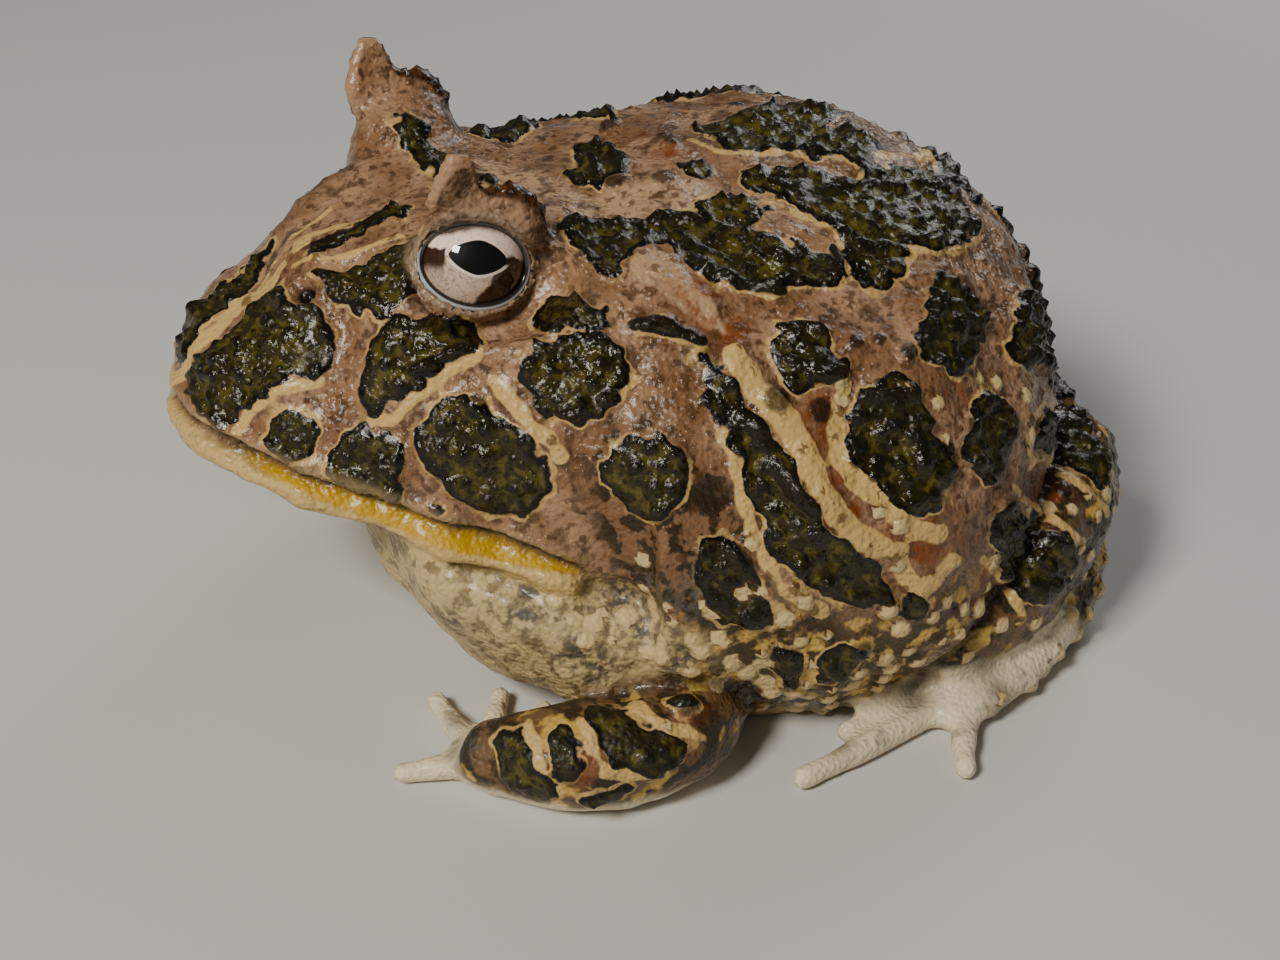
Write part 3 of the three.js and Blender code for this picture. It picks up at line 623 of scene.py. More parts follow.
# Markings: dark olive blotches with black edges on the taupe ground. Each is an outline traced
# over the photograph, in its pixels, and laid on the skin. The right side carries the
# same ones, a little displaced.
BLOTCHES = {
    "snout_side": [(187, 387), (199, 364), (219, 339), (236, 318), (256, 295), (273, 282),
        (288, 285), (293, 306), (319, 311), (331, 326), (332, 350), (319, 379), (293, 382),
        (273, 387), (245, 407), (228, 424), (207, 418), (184, 400)],
    "loreal": [(311, 269), (334, 265), (357, 260), (380, 250), (403, 242), (419, 240), (422, 258),
        (416, 280), (416, 297), (394, 309), (362, 315), (339, 306), (322, 286)],
    "canthus": [(299, 258), (311, 246), (328, 232), (351, 217), (374, 209), (394, 203), (413, 201),
        (408, 214), (388, 220), (368, 226), (351, 235), (334, 245), (314, 257)],
    "under_eye": [(397, 324), (412, 317), (446, 315), (466, 321), (482, 334), (476, 350),
        (454, 358), (437, 367), (426, 378), (410, 396), (391, 411), (370, 411), (358, 398),
        (355, 375), (365, 349), (380, 338)],
    "eye_rear": [(533, 312), (552, 290), (566, 286), (590, 300), (612, 318), (628, 334), (600, 326),
        (570, 330), (545, 336)],
    "cheek_high": [(512, 380), (522, 360), (546, 341), (570, 330), (600, 328), (628, 345),
        (634, 368), (626, 392), (604, 413), (575, 421), (552, 422), (533, 408), (520, 394)],
    "cheek_low": [(417, 427), (427, 408), (446, 397), (466, 391), (484, 400), (500, 417),
        (520, 432), (546, 460), (553, 480), (548, 502), (532, 514), (508, 520), (484, 514),
        (462, 500), (440, 476), (424, 452)],
    "lip_front": [(256, 438), (266, 422), (290, 408), (316, 411), (328, 426), (323, 446),
        (309, 461), (285, 463), (262, 453)],
    "lip_middle": [(326, 466), (336, 445), (350, 428), (374, 433), (394, 441), (404, 460),
        (406, 500), (388, 507), (360, 498), (336, 483)],
    "lip_spot": [(415, 506), (428, 500), (446, 505), (446, 514), (432, 519)],
    "cheek_rear": [(600, 455), (625, 438), (655, 434), (680, 442), (686, 470), (678, 500),
        (660, 522), (632, 522), (612, 500), (600, 478)],
    "temple": [(561, 225), (574, 218), (609, 219), (643, 217), (671, 211), (698, 213), (740, 226),
        (764, 232), (790, 243), (816, 254), (840, 258), (846, 274), (829, 287), (809, 281),
        (788, 290), (760, 294), (733, 290), (709, 283), (692, 270), (664, 256), (643, 247),
        (630, 256), (623, 270), (616, 282), (602, 273), (585, 256)],
    "nape": [(575, 143), (593, 139), (615, 141), (619, 153), (617, 168), (603, 186), (583, 183),
        (563, 176), (574, 164)],
    "back_upper": [(736, 170), (760, 169), (788, 166), (822, 170), (850, 173), (884, 177),
        (919, 180), (953, 189), (977, 208), (984, 225), (970, 239), (946, 249), (919, 251),
        (891, 242), (867, 235), (836, 225), (809, 215), (785, 204), (757, 193), (742, 182)],
    "back_crest": [(692, 122), (719, 118), (747, 108), (781, 102), (815, 98), (843, 94), (862, 97),
        (864, 105), (850, 115), (833, 122), (802, 130), (781, 139), (754, 144), (726, 141),
        (702, 132)],
    "back_dots": [(678, 165), (700, 160), (716, 170), (704, 177), (684, 175)],
    "flank_1": [(918, 313), (921, 296), (934, 283), (952, 279), (970, 287), (982, 303), (988, 324),
        (987, 348), (979, 368), (960, 376), (940, 371), (925, 358), (916, 338)],
    "flank_2": [(1010, 306), (1019, 289), (1035, 290), (1048, 304), (1052, 326), (1049, 349),
        (1036, 367), (1020, 364), (1010, 340)],
    "flank_3": [(852, 392), (872, 379), (895, 372), (917, 380), (928, 408), (940, 434), (953, 455),
        (954, 478), (947, 500), (936, 517), (915, 522), (897, 506), (872, 487), (856, 468),
        (848, 440), (849, 412)],
    "flank_4": [(985, 394), (1000, 386), (1013, 400), (1013, 430), (1014, 457), (1003, 478),
        (984, 486), (970, 465), (971, 430), (977, 408)],
    "flank_5": [(759, 341), (779, 328), (799, 323), (819, 329), (832, 341), (833, 354), (846, 367),
        (845, 382), (832, 392), (812, 396), (792, 386), (777, 369)],
    "flank_6": [(860, 258), (880, 262), (898, 276), (893, 294), (877, 292), (865, 276)],
    "neck": [(628, 328), (640, 319), (660, 319), (683, 329), (703, 341), (690, 347), (666, 343),
        (645, 336)],
    "side_band": [(682, 348), (699, 370), (710, 400), (721, 428), (734, 446), (746, 480),
        (757, 512), (769, 548), (786, 574), (806, 590), (845, 610), (876, 613), (899, 600),
        (893, 580), (878, 564), (858, 545), (834, 532), (816, 516), (805, 492), (793, 462),
        (779, 440), (759, 418), (742, 398), (728, 376), (716, 354), (700, 345)],
    "low_1": [(696, 538), (719, 531), (736, 548), (750, 572), (768, 590), (776, 612), (766, 632),
        (740, 636), (716, 618), (696, 598)],
    "low_2": [(769, 656), (792, 644), (806, 661), (799, 688), (774, 690)],
    "low_3": [(812, 658), (832, 645), (860, 643), (866, 657), (845, 677), (822, 683)],
    "low_4": [(905, 600), (925, 590), (934, 606), (918, 624), (900, 620)],
    "arm_1": [(494, 746), (499, 730), (525, 725), (530, 754), (549, 785), (554, 809), (535, 809),
        (506, 790), (493, 768)],
    "arm_2": [(583, 711), (602, 704), (620, 701), (637, 715), (666, 732), (695, 744), (680, 763),
        (654, 773), (625, 768), (605, 754), (588, 737)],
    "arm_3": [(543, 735), (556, 726), (568, 722), (574, 735), (581, 749), (586, 765), (578, 775),
        (567, 778), (556, 770), (546, 752)],
    "arm_4": [(579, 806), (584, 795), (600, 790), (618, 788), (632, 790), (624, 801), (604, 806)],
    "arm_5": [(664, 700), (676, 693), (688, 698), (692, 710), (680, 716), (668, 710)],
    "shank_1": [(1030, 438), (1042, 413), (1061, 407), (1084, 411), (1100, 426), (1110, 452),
        (1111, 480), (1100, 494), (1084, 476), (1066, 466), (1045, 456)],
    "shank_2": [(1001, 500), (1016, 500), (1031, 516), (1051, 532), (1080, 550), (1073, 577),
        (1050, 604), (1028, 610), (1010, 590), (996, 560), (992, 535)],
}
# Blotches past the middle of the back stand on one side only.
FAR_BLOTCHES = {
    "snout_far": [(176, 352), (187, 325), (207, 301), (225, 283), (240, 264), (256, 247),
        (270, 243), (262, 264), (242, 289), (222, 318), (205, 337), (184, 366)],
    "lid_far": [(393, 113), (403, 105), (415, 117), (427, 131), (435, 146), (453, 153), (470, 165),
        (494, 172), (503, 180), (490, 183), (466, 172), (456, 184), (441, 178), (420, 162),
        (403, 149), (396, 133)],
    "temple_far": [(457, 110), (472, 113), (488, 117), (510, 120), (528, 117), (538, 125),
        (528, 133), (508, 137), (480, 134), (466, 127)],
    "crest_far": [(563, 108), (580, 110), (600, 112), (619, 114), (619, 120), (590, 119),
        (566, 117)],
}
# Cream lines, each with half its width in millimetres.
CREAM_LINES = {
    "snout_stripe": (1.0, [(179, 380), (193, 362), (214, 335), (236, 308), (258, 288), (282, 266),
        (303, 245)]),
    "stripe_low": (0.35, [(293, 267), (334, 257), (368, 246), (397, 235), (420, 229)]),
    "stripe_high": (0.35, [(176, 366), (205, 333), (245, 300), (255, 284), (274, 259), (294, 236),
        (322, 212), (350, 193)]),
    "fold": (1.35, [(733, 360), (748, 382), (769, 405), (792, 432), (806, 459), (818, 487),
        (834, 514), (859, 538), (880, 547)]),
    "band_front": (0.7, [(723, 436), (735, 462), (745, 500), (752, 528), (766, 561), (782, 586),
        (806, 600), (822, 613)]),
    "second_fold": (1.1, [(838, 430), (840, 455), (852, 478), (872, 492), (892, 510), (916, 530),
        (940, 533)]),
    "flank_top": (0.5, [(846, 384), (837, 405), (836, 432)]),
    "flank_low": (1.0, [(898, 552), (908, 575), (918, 594), (938, 580), (952, 561)]),
    "cheek_curve": (0.8, [(494, 381), (506, 393), (518, 411), (532, 424), (547, 437), (560, 455)]),
    "snout_low": (0.6, [(232, 432), (247, 412), (272, 393), (294, 386), (318, 383)]),
    "eye_low": (0.6, [(370, 419), (394, 419), (414, 401), (431, 383), (456, 367), (478, 356),
        (492, 343)]),
    "back_stripe": (0.75, [(692, 139), (719, 153), (747, 154), (781, 153), (816, 149), (850, 153),
        (884, 156), (936, 160)]),
    "back_low": (0.4, [(768, 202), (800, 216), (836, 229), (870, 240), (900, 250), (935, 256),
        (968, 246), (985, 233)]),
    "arm_a": (0.6, [(528, 722), (537, 751), (549, 775), (560, 797)]),
    "arm_b": (0.6, [(579, 720), (593, 749), (605, 768), (629, 778), (651, 776)]),
    "arm_c": (0.7, [(634, 703), (649, 717), (671, 730), (702, 737)]),
    "shank_a": (0.35, [(1030, 418), (1044, 405), (1070, 401), (1098, 415), (1113, 440), (1115, 470),
        (1108, 500)]),
    "shank_b": (0.6, [(1025, 452), (1051, 465), (1078, 485), (1107, 512)]),
    "shank_c": (0.6, [(1014, 488), (1040, 513), (1060, 530), (1084, 542)]),
    "shank_d": (0.6, [(986, 560), (1003, 580), (1014, 596), (1024, 614)]),
}
# Long glossy welts in the blotches, each with half its width in millimetres.
WELTS = {
    "temple_top": (0.75, [(572, 224), (600, 226), (640, 224), (668, 219), (694, 221)]),
    "temple_low": (0.9, [(694, 258), (710, 271), (745, 283), (780, 290)]),
    "temple_end": (0.7, [(772, 256), (788, 262), (802, 258), (800, 246)]),
    "temple_knob": (0.6, [(834, 248), (840, 260), (838, 274)]),
    "neck": (0.75, [(634, 325), (660, 322), (684, 334), (701, 341)]),
    "flank_5_low": (0.8, [(790, 360), (806, 372), (828, 379), (841, 374)]),
    "flank_5_top": (0.55, [(779, 328), (800, 324), (820, 331)]),
    "back_a": (0.7, [(772, 183), (795, 187), (812, 188)]),
    "back_b": (0.6, [(826, 187), (848, 186)]),
    "back_c": (0.6, [(866, 184), (884, 183), (900, 186)]),
    "back_d": (0.7, [(925, 184), (943, 188)]),
    "canthus": (0.5, [(316, 249), (340, 234), (364, 221), (390, 212)]),
    "band": (0.9, [(780, 473), (792, 492), (806, 503)]),
    "band_high": (0.7, [(740, 418), (752, 430), (764, 447)]),
    "nape_a": (0.6, [(590, 143), (605, 143), (614, 147)]),
    "nape_b": (0.6, [(592, 160), (598, 170), (596, 178)]),
    "cheek": (0.6, [(560, 414), (572, 416), (584, 410)]),
    "under_eye": (0.5, [(412, 372), (430, 362), (452, 352), (470, 345)]),
    "flank_3_top": (0.6, [(868, 400), (884, 396), (900, 392), (910, 400)]),
    "flank_1": (0.6, [(930, 330), (932, 312), (942, 300)]),
    "temple_far": (0.7, [(476, 127), (500, 131), (522, 125)]),
    "crest_knob": (0.8, [(836, 97), (850, 92), (856, 98)]),
}


def rounded(outline):
    """Each corner is cut off a quarter of the way along its two edges."""
    outline = np.asarray(outline, float)
    ahead = np.roll(outline, -1, axis=0)
    cuts = np.stack([0.75 * outline + 0.25 * ahead, 0.25 * outline + 0.75 * ahead], 1)
    return cuts.reshape(-1, 2)


def to_segments(points, starts, ends):
    """Distance from each point to the nearest of the segments."""
    best = np.full(len(points), np.inf)
    for a, b in zip(starts, ends):
        along = b - a
        share = np.clip((points - a) @ along / max(along @ along, 1e-9), 0, 1)
        best = np.minimum(best, np.linalg.norm(points - a - share[:, None] * along, axis=1))
    return best


def inside(points, outline):
    """True where a point is inside: a ray from it crosses the outline an odd number of times."""
    odd = np.zeros(len(points), bool)
    for a, b in zip(outline, np.roll(outline, -1, axis=0)):
        rises = (a[1] > points[:, 1]) != (b[1] > points[:, 1])
        with np.errstate(divide="ignore", invalid="ignore"):
            cross = a[0] + (points[:, 1] - a[1]) * (b[0] - a[0]) / (b[1] - a[1])
        odd ^= rises & (points[:, 0] < cross)
    return odd


WAVE_COUNT = 14


def waves(points, length, seed):
    """Smooth noise of about the given wavelength: sines in many directions, added up."""
    draw = np.random.default_rng(seed)
    directions = draw.normal(size=(WAVE_COUNT, 3))
    directions *= (2 * np.pi / length) * draw.uniform(0.6, 1.4, (WAVE_COUNT, 1)) \
        / np.linalg.norm(directions, axis=1)[:, None]
    phases = draw.uniform(0, 2 * np.pi, WAVE_COUNT)
    return np.sin(points @ directions.T + phases).sum(1) / math.sqrt(WAVE_COUNT / 2)


FAR_OFF = 9.0  # stands for well outside a marking, in millimetres


def outline_distance(points, normals, pixels):
    """Signed distance to a blotch in millimetres, less than 0 inside, measured in the plane that
    touches the skin at the blotch's middle."""
    hits = [hit for hit in (on_skin(pixel) for pixel in rounded(pixels)) if hit is not None]
    places = np.array([place for place, _ in hits])
    normal = np.mean([n for _, n in hits], axis=0)
    normal /= np.linalg.norm(normal)
    middle = places.mean(0)
    first = np.cross(normal, [0.3, 0.1, 1.0])
    first /= np.linalg.norm(first)
    second = np.cross(normal, first)
    flat = np.stack([(places - middle) @ first, (places - middle) @ second], 1)
    reach = np.abs(flat).max() * 1.5 + 4
    offset = points - middle
    near = (np.linalg.norm(offset, axis=1) < reach) & (normals @ normal > -0.1)
    near &= np.abs(offset @ normal) < 0.7 * reach
    distance = np.full(len(points), FAR_OFF)
    at = np.stack([offset[near] @ first, offset[near] @ second], 1)
    away = to_segments(at, flat, np.roll(flat, -1, axis=0))
    distance[near] = np.where(inside(at, flat), -away, away)
    return distance


def line_distance(points, pixels):
    """Distance in space to a line laid on the skin through the given pixels."""
    hits = [hit for hit in (on_skin(pixel) for pixel in pixels) if hit is not None]
    places = np.array([place for place, _ in hits])
    return to_segments(points, places[:-1], places[1:])


normals = read_vectors(skin_mesh, "normal")
MIRROR = np.array([-1.0, 1.0, 1.0])
on_right = points[:, :1] < 0
UNSEEN_FADE = 5.0 * ease(normals @ toward, -0.2, 0.0) * (points[:, 0] < 0)
right_warp = np.stack([waves(points, 22, seed) for seed in (31, 32, 33)], 1) * 0.8
right_points = (points + right_warp * on_right) * MIRROR


def both_sides(measure):
    """A measure of the left side, and of the right side with a slow warp, whichever is less. It
    fades on that part of the right side which the photograph shows."""
    on_left = measure(points, normals)
    return np.minimum(on_left, measure(right_points, normals * MIRROR) + UNSEEN_FADE)


def from_outline(pixels):
    """Signed distance to an outline of the photograph, laid on both sides."""
    return both_sides(lambda p, n: outline_distance(p, n, pixels))


def from_line(pixels):
    """Distance to a line of the photograph, laid on both sides."""
    return both_sides(lambda p, n: line_distance(p, pixels))


def from_place(place):
    """Distance to a point of the skin, on both sides."""
    return both_sides(lambda p, n: np.linalg.norm(p - place, axis=1))


blotch = np.full(len(points), FAR_OFF)
for pixels in BLOTCHES.values():
    blotch = np.minimum(blotch, from_outline(pixels))
past_middle = FAR_OFF * ease(points[:, 0], 6.5, 8.0)
for pixels in FAR_BLOTCHES.values():
    blotch = np.minimum(blotch, outline_distance(points, normals, pixels) + past_middle)

# Blotches where the photograph doesn't look, on both sides: the rump, the far back and low on
# the hind side. Each is its middle, its half width and height, and its half length.
HIDDEN_SPOTS = [
    [12, 43, 38, 5.5, 4.0], [25, 37, 36, 5.0, 6.0], [5, 33, 53, 6.5, 3.5],
    [14, 24, 54, 4.5, 7.0], [24, 12, 51, 5.0, 4.0], [8, 46, 26, 4.5, 3.6],
    [28, 37, 22, 4.0, 3.6], [17, -2, 55, 3.4, 4.6], [4, 41, 45, 3.6, 3.2],
    [19, 43, 28, 3.4, 3.2], [5, 46, 13, 4.2, 3.4],
]
# Blotches of the right half of the back, which the photograph only grazes.
FAR_SPOTS = [[-24, 14, 51.5, 5.2, 7.5], [-20, 30, 47, 5.0, 5.5], [-28, -4, 49, 4.2, 5.2]]


def spot_distance(p, spots):
    """Distance to the nearest rounded spot, in millimetres: the spot's own radius times how far
    outside its oval a point lies."""
    best = np.full(len(p), FAR_OFF)
    for x, y, z, wide, long in spots:
        across, along, up = (p - forward - np.array([x, y, z])).T
        oval = np.sqrt((across / wide) ** 2 + (along / long) ** 2 + (up / wide) ** 2)
        best = np.minimum(best, (oval - 1) * min(wide, long))
    return best


blotch = np.minimum(blotch, both_sides(lambda p, n: spot_distance(p, HIDDEN_SPOTS)))
blotch = np.minimum(blotch, spot_distance(points, FAR_SPOTS))
blotch = blotch + 0.34 * waves(points, 6, 41) + 0.26 * waves(points, 2.4, 42)  # uneven edges
welt = np.full(len(points), FAR_OFF)
for half, pixels in WELTS.values():
    welt = np.minimum(welt, from_line(pixels) / half)

line = np.full(len(points), FAR_OFF)
for half, pixels in CREAM_LINES.values():
    line = np.minimum(line, from_line(pixels) - half)
line = line + 0.15 * waves(points, 3, 43)

# Ground: how far a point belongs to the pale belly and throat, to the cream flank, and to the
# white fingers and toes.
drawn = points - forward
y, z = drawn[:, 1], drawn[:, 2]
mirrored = drawn.copy()
mirrored[:, 0] = np.abs(drawn[:, 0])
aside = mirrored[:, 0]
back_b, side_x, up_h = along_the_head(points)
mouth_up = up_h - mouth_height(back_b)
lip_half = through(HEAD_ROWS, back_b)[..., 0]


def to_path(stations):
    """Distance from the middle line of a limb, on either side."""
    path = np.asarray(stations, float)[:, :3]
    return to_segments(mirrored, path[:-1], path[1:])


under_jaw = ease(-mouth_up, 0.5, 1.5) * ease(-y, 9, 18) * ease(36 - z, 0, 6)
belly = ease(-z, -6, -2.5) * ease(44 - aside, 3, 9)
pale = np.maximum(under_jaw, belly)
flank = ease(aside, 27, 37) * ease(42 - z, 4, 20) * ease(y, -22, -12)
digits = np.zeros(len(points))
DIGIT_MIDDLE = 1.7  # height above the floor
for digit in FINGERS + TOES:
    away = to_path([[*place, DIGIT_MIDDLE] for place in digit])
    digits = np.maximum(digits, ease(-away, -2.9, -2.2))
palm = ease(-to_path(PALM), -4.6, -3.4) * 0.8
front_of_foot = ease(-to_path(FOOT[2:]), -5.4, -4.2)
arm_away = np.minimum(to_path(UPPER_ARM), to_path(FOREARM))
under_arm = ease(-arm_away, -7.2, -6.2) * ease(2.6 - z, -0.8, 0.8)
white = np.clip(np.maximum.reduce([digits, palm, front_of_foot, under_arm]), 0, 1)
on_arm = ease(7.4 - arm_away, 0, 1.0)
on_limb = np.maximum(on_arm, ease(9.4 - to_path(SHANK), 0, 1.2))


# Creases: where a limb meets the trunk, and where the throat meets the jaw, the surfaces of both
# lie close to the skin, which is drawn in there and darkened with painted shade.
def hill(away, width):
    """1 where a distance is 0, falling off like a bell over the given width."""
    return np.exp(-(away / width) ** 2)


def form_tree(forms):
    """Search tree of the surfaces of several forms."""
    vertices, faces, start = [], [], 0
    for form_points, form_faces in forms:
        vertices += [Vector(p) for p in form_points]
        faces += [[start + corner for corner in face] for face in form_faces]
        start += len(form_points)
    return BVHTree.FromPolygons(vertices, faces)


def away_from(forms, chosen):
    """Distance of the chosen points from the surface of the forms."""
    surface = form_tree(forms)
    return np.array([surface.find_nearest(Vector(points[k]))[3] for k in chosen])


CREASE_WIDE, SEARCHED_ROUND = 0.85, 2


def crease_between(first, second):
    """1 in the crease between two groups of forms, and 0 a short way off it."""
    out = np.zeros(len(points))
    low = np.min([corners.min(0) for corners, _ in second], 0) - SEARCHED_ROUND
    high = np.max([corners.max(0) for corners, _ in second], 0) + SEARCHED_ROUND
    chosen = np.nonzero(((points > low) & (points < high)).all(1))[0]
    from_both = np.maximum(away_from(first, chosen), away_from(second, chosen))
    out[chosen] = hill(from_both, CREASE_WIDE)
    return out


LARGE_FORMS = 6  # of a side's limb forms: all but the fingers and toes
crease = np.zeros(len(points))
for limbs in (left_limbs, right_limbs):
    crease = np.maximum(crease, crease_between([throat, torso], limbs[:LARGE_FORMS]))
crease *= ease(z, 0.8, 2.0)
jaw_fold = crease_between([jaw], [throat]) * ease(-y, 12, 16)
crease = np.maximum(crease, 0.7 * jaw_fold)

# Warts: domes pushed out of the skin. Dark glossy ones crowd in the blotches, white cones stand
# on the low flank and the throat, and a few brown ones are scattered over the rest.
draw = np.random.default_rng(7)
tree = KDTree(len(points))
for k, p in enumerate(points):
    tree.insert(p, k)
tree.balance()
wart = np.zeros(len(points))
wart_pale = np.zeros(len(points))
lift = np.zeros(len(points))


def around(place, reach):
    """Numbers of the points of the skin within reach of a place, and how far off each lies."""
    found = tree.find_range(place, reach)
    return np.array([k for _, k, _ in found], int), np.array([away for _, _, away in found])


def scatter(weight, count, spacing):
    """Places drawn by weight, one at a time, that keep clear of each other and of earlier
    warts."""
    share = weight / weight.sum()
    taken, chosen = lift > 0.1, []
    for k in draw.choice(len(points), size=count, replace=False, p=share):
        if not taken[k]:
            chosen.append(k)
            taken[around(points[k], spacing)[0]] = True
    return chosen


def raise_warts(chosen, radius, height, paleness, point=2.0):
    """Domes of height times one minus the distance squared, sharper where point is below 2.
    Paleness picks the colour: 0 black, about 0.4 brown, 1 cream."""
    for k in chosen:
        r = radius * draw.uniform(0.7, 1.35)
        tall = height * draw.uniform(0.6, 1.3)
        near, away = around(points[k], r)
        dome = 1 - (away / r) ** point
        higher = dome * tall > lift[near]
        near, dome = near[higher], dome[higher]
        lift[near], wart[near], wart_pale[near] = dome * tall, dome, paleness


def marked(pixels):
    """Points of the skin at given pixels, on the left side and mirrored to the right."""
    chosen = []
    for hit in filter(None, (on_skin(pixel) for pixel in pixels)):
        chosen += [tree.find(hit[0])[1], tree.find(hit[0] * MIRROR)[1]]
    return chosen


PALE_OVALS = [(554, 600), (573, 619), (592, 624), (602, 611), (624, 614), (648, 602), (669, 608),
    (586, 643), (610, 640), (562, 673), (530, 678), (648, 654), (659, 640), (672, 622), (710, 614),
    (718, 638), (731, 662), (766, 686), (763, 667), (742, 595), (763, 595), (720, 683), (640, 560),
    (690, 640)]
BIG_WARTS = [(879, 342), (773, 402), (819, 412), (908, 352), (856, 345), (474, 407), (569, 414),
    (836, 262), (820, 170), (843, 94), (800, 99), (575, 141), (663, 183), (668, 140), (900, 137),
    (1064, 492)]
SMALL_PALE = [(839, 384), (845, 402), (905, 388), (936, 402), (950, 440), (985, 377), (1002, 380),
    (1025, 395)]
face_zone = ease(-y, 14, 20)
off_head = 1 - face_zone
quiet = (1 - np.clip(digits + 0.8 * white, 0, 1)) * ease(z, 0.6, 2.0) * (1 - crease)
in_blotch = ease(-blotch, 0.3, 0.9) * quiet
outer = np.maximum(ease(aside, 18, 28), ease(y, 28, 40))
low_side = ease(24 - z, 0, 8) * outer * quiet * off_head
low_back = ease(56 - z, 6, 16)
cones = low_side * (0.2 + ease(blotch, -0.5, 0.5)) * (1 - 0.85 * on_limb) * (1 - on_arm)
cones += 0.5 * flank * ease(1.2 - line, 0, 1) * quiet
brown = (1 - ease(-blotch, -0.6, 0.2)) * quiet * (0.1 + off_head) * (1 - pale)
raise_warts(marked(PALE_OVALS), radius=1.15, height=0.3, paleness=1.0)
raise_warts(marked(BIG_WARTS), radius=1.5, height=0.85, paleness=0.0)
raise_warts(marked(SMALL_PALE), radius=0.95, height=0.6, paleness=0.9, point=1.7)
for weight, count, spacing, radius, height, paleness, point in (
    (in_blotch * off_head * low_back, 420, 3.0, 1.45, 1.0, 0.0, 2.0),
    (in_blotch * (0.2 + off_head), 3400, 1.6, 0.9, 0.85, 0.0, 2.0),
    (in_blotch * (0.6 + 0.6 * face_zone), 3000, 0.95, 0.52, 0.28, 0.0, 2.0),
    (cones, 800, 2.3, 1.15, 0.7, 1.0, 1.8),
    (brown, 1100, 1.9, 0.75, 0.34, 0.45, 2.0),
    (quiet * (1 - pale), 2600, 1.0, 0.5, 0.12, 0.3, 2.0),
):
    raise_warts(scatter(weight, count, spacing), radius, height, paleness, point)

# Knobs along the crest of each upper lid, rust brown, and short spines behind the horn.
crest_top = np.array([[b, crest_out(h), h] for b, h in CREST_ROWS])


def crest_distance(p):
    """Distance to the top edge of the left lid's crest."""
    at = np.stack(along_the_head(p), -1) - EYE_PLACE
    return to_segments(at, crest_top[:-1], crest_top[1:])


crest_away = np.minimum(crest_distance(points), crest_distance(points * MIRROR))
SPINES = [(-0.4, 1.0), (0.9, 0.8), (2.2, 0.9), (3.3, 0.8), (4.4, 0.7)]  # back from the eye, height
for spine_back, tall in SPINES:
    top = through(CREST_ROWS, spine_back)[0]
    for side in (1, -1):
        b, x, h = EYE_PLACE + [spine_back, crest_out(top), top]
        root = tree.find(from_head(b, side * x, h))[1]
        raise_warts([root], radius=0.8, height=tall, paleness=0.6, point=1.4)

# Relief of the skin: blotches stand a little proud with a welt along their edge, the fold behind
# the head is raised, and the mouth is a groove between two lips.
NECK_FOLD = [(655, 262), (690, 292), (714, 322), (730, 352)]
NOSTRIL = (303, 293)
MOUTH_FRONT, MOUTH_LONG = 4, 33  # where the lips begin to part, back from the snout, and how far
BLOTCH_RISE, BLOTCH_RIM, CREAM_RISE, WELT_RISE = 0.22, 0.22, 0.3, 0.7  # heights, in millimetres
FOLD_RISE, NECK_FOLD_RISE, CREST_RISE, LIP_RISE = 0.8, 0.5, 0.5, 0.4
FINE_WAVES, WIDE_WAVES, NOSTRIL_RIM = 0.12, 0.28, 0.55
GROOVE_DEEP, CREASE_DEEP, NOSTRIL_DEEP = 0.9, 0.85, 1.5
along_mouth = ease(37 - back_b, 0, 1.5) * ease(np.abs(side_x) - lip_half, -5, -2.5) \
    * ease(-y, 16, 18)
groove = hill(mouth_up + 0.1, 0.5) * along_mouth
parting = np.sin(np.pi * np.clip((back_b - MOUTH_FRONT) / MOUTH_LONG, 0, 1)) ** 0.8
gape = 0.5 + 1.7 * parting
lip_swell = 0.6 * hill(mouth_up - 1.5, 1.0) + 0.7 * hill(mouth_up + gape + 0.8, 0.8)
fold = from_line(CREAM_LINES["fold"][1])
neck_fold = from_line(NECK_FOLD)
relief = BLOTCH_RISE * ease(-blotch, -0.2, 0.8)
relief += BLOTCH_RIM * hill(blotch + 0.5, 0.45) * quiet
relief += FOLD_RISE * hill(fold, 2.4) + NECK_FOLD_RISE * hill(neck_fold, 3.2)
relief += CREAM_RISE * ease(-line, -0.5, 0.2) * quiet
relief += WELT_RISE * np.sqrt(np.clip(1 - welt**2, 0, 1)) + CREST_RISE * hill(crest_away, 1.1)
relief += (FINE_WAVES * waves(points, 4.5, 51) + WIDE_WAVES * waves(points, 13, 52)) * quiet
relief += LIP_RISE * lip_swell * along_mouth - GROOVE_DEEP * groove - CREASE_DEEP * crease
pit = from_place(on_skin(NOSTRIL)[0])
relief += NOSTRIL_RIM * hill(pit - 2.0, 0.7) - NOSTRIL_DEEP * hill(pit, 1.0)
lid_zone = np.zeros(len(points))
for side in (1, -1):
    ahead, level_off, up_off = from_eye(points, side)
    near_gaze = ease(8.5 - np.hypot(level_off, up_off), 0, 1)
    near_opening = ease(1.42 - out_of_opening(ahead, level_off, up_off), 0, 0.25)
    lid_zone = np.maximum(lid_zone, near_gaze * near_opening * (ahead > -1))
SUNK = 0.3  # the whole skin is drawn in this far, which the relief makes up for
grounded = ease(z, 0.0, 1.2)
calm = (1 - 0.75 * digits) * grounded * (1 - lid_zone)
lifted = relief * calm + lift * (1 - lid_zone) - SUNK * (1 - lid_zone) * grounded
shaped = points + normals * lifted[:, None]
shaped += (relaxed(shaped, 10) - shaped) * white[:, None]
shaped[:, 2] = np.maximum(shaped[:, 2], 0.0)
write_points(skin_mesh, shaped)
skin_mesh.polygons.foreach_set("use_smooth", [True] * len(skin_mesh.polygons))
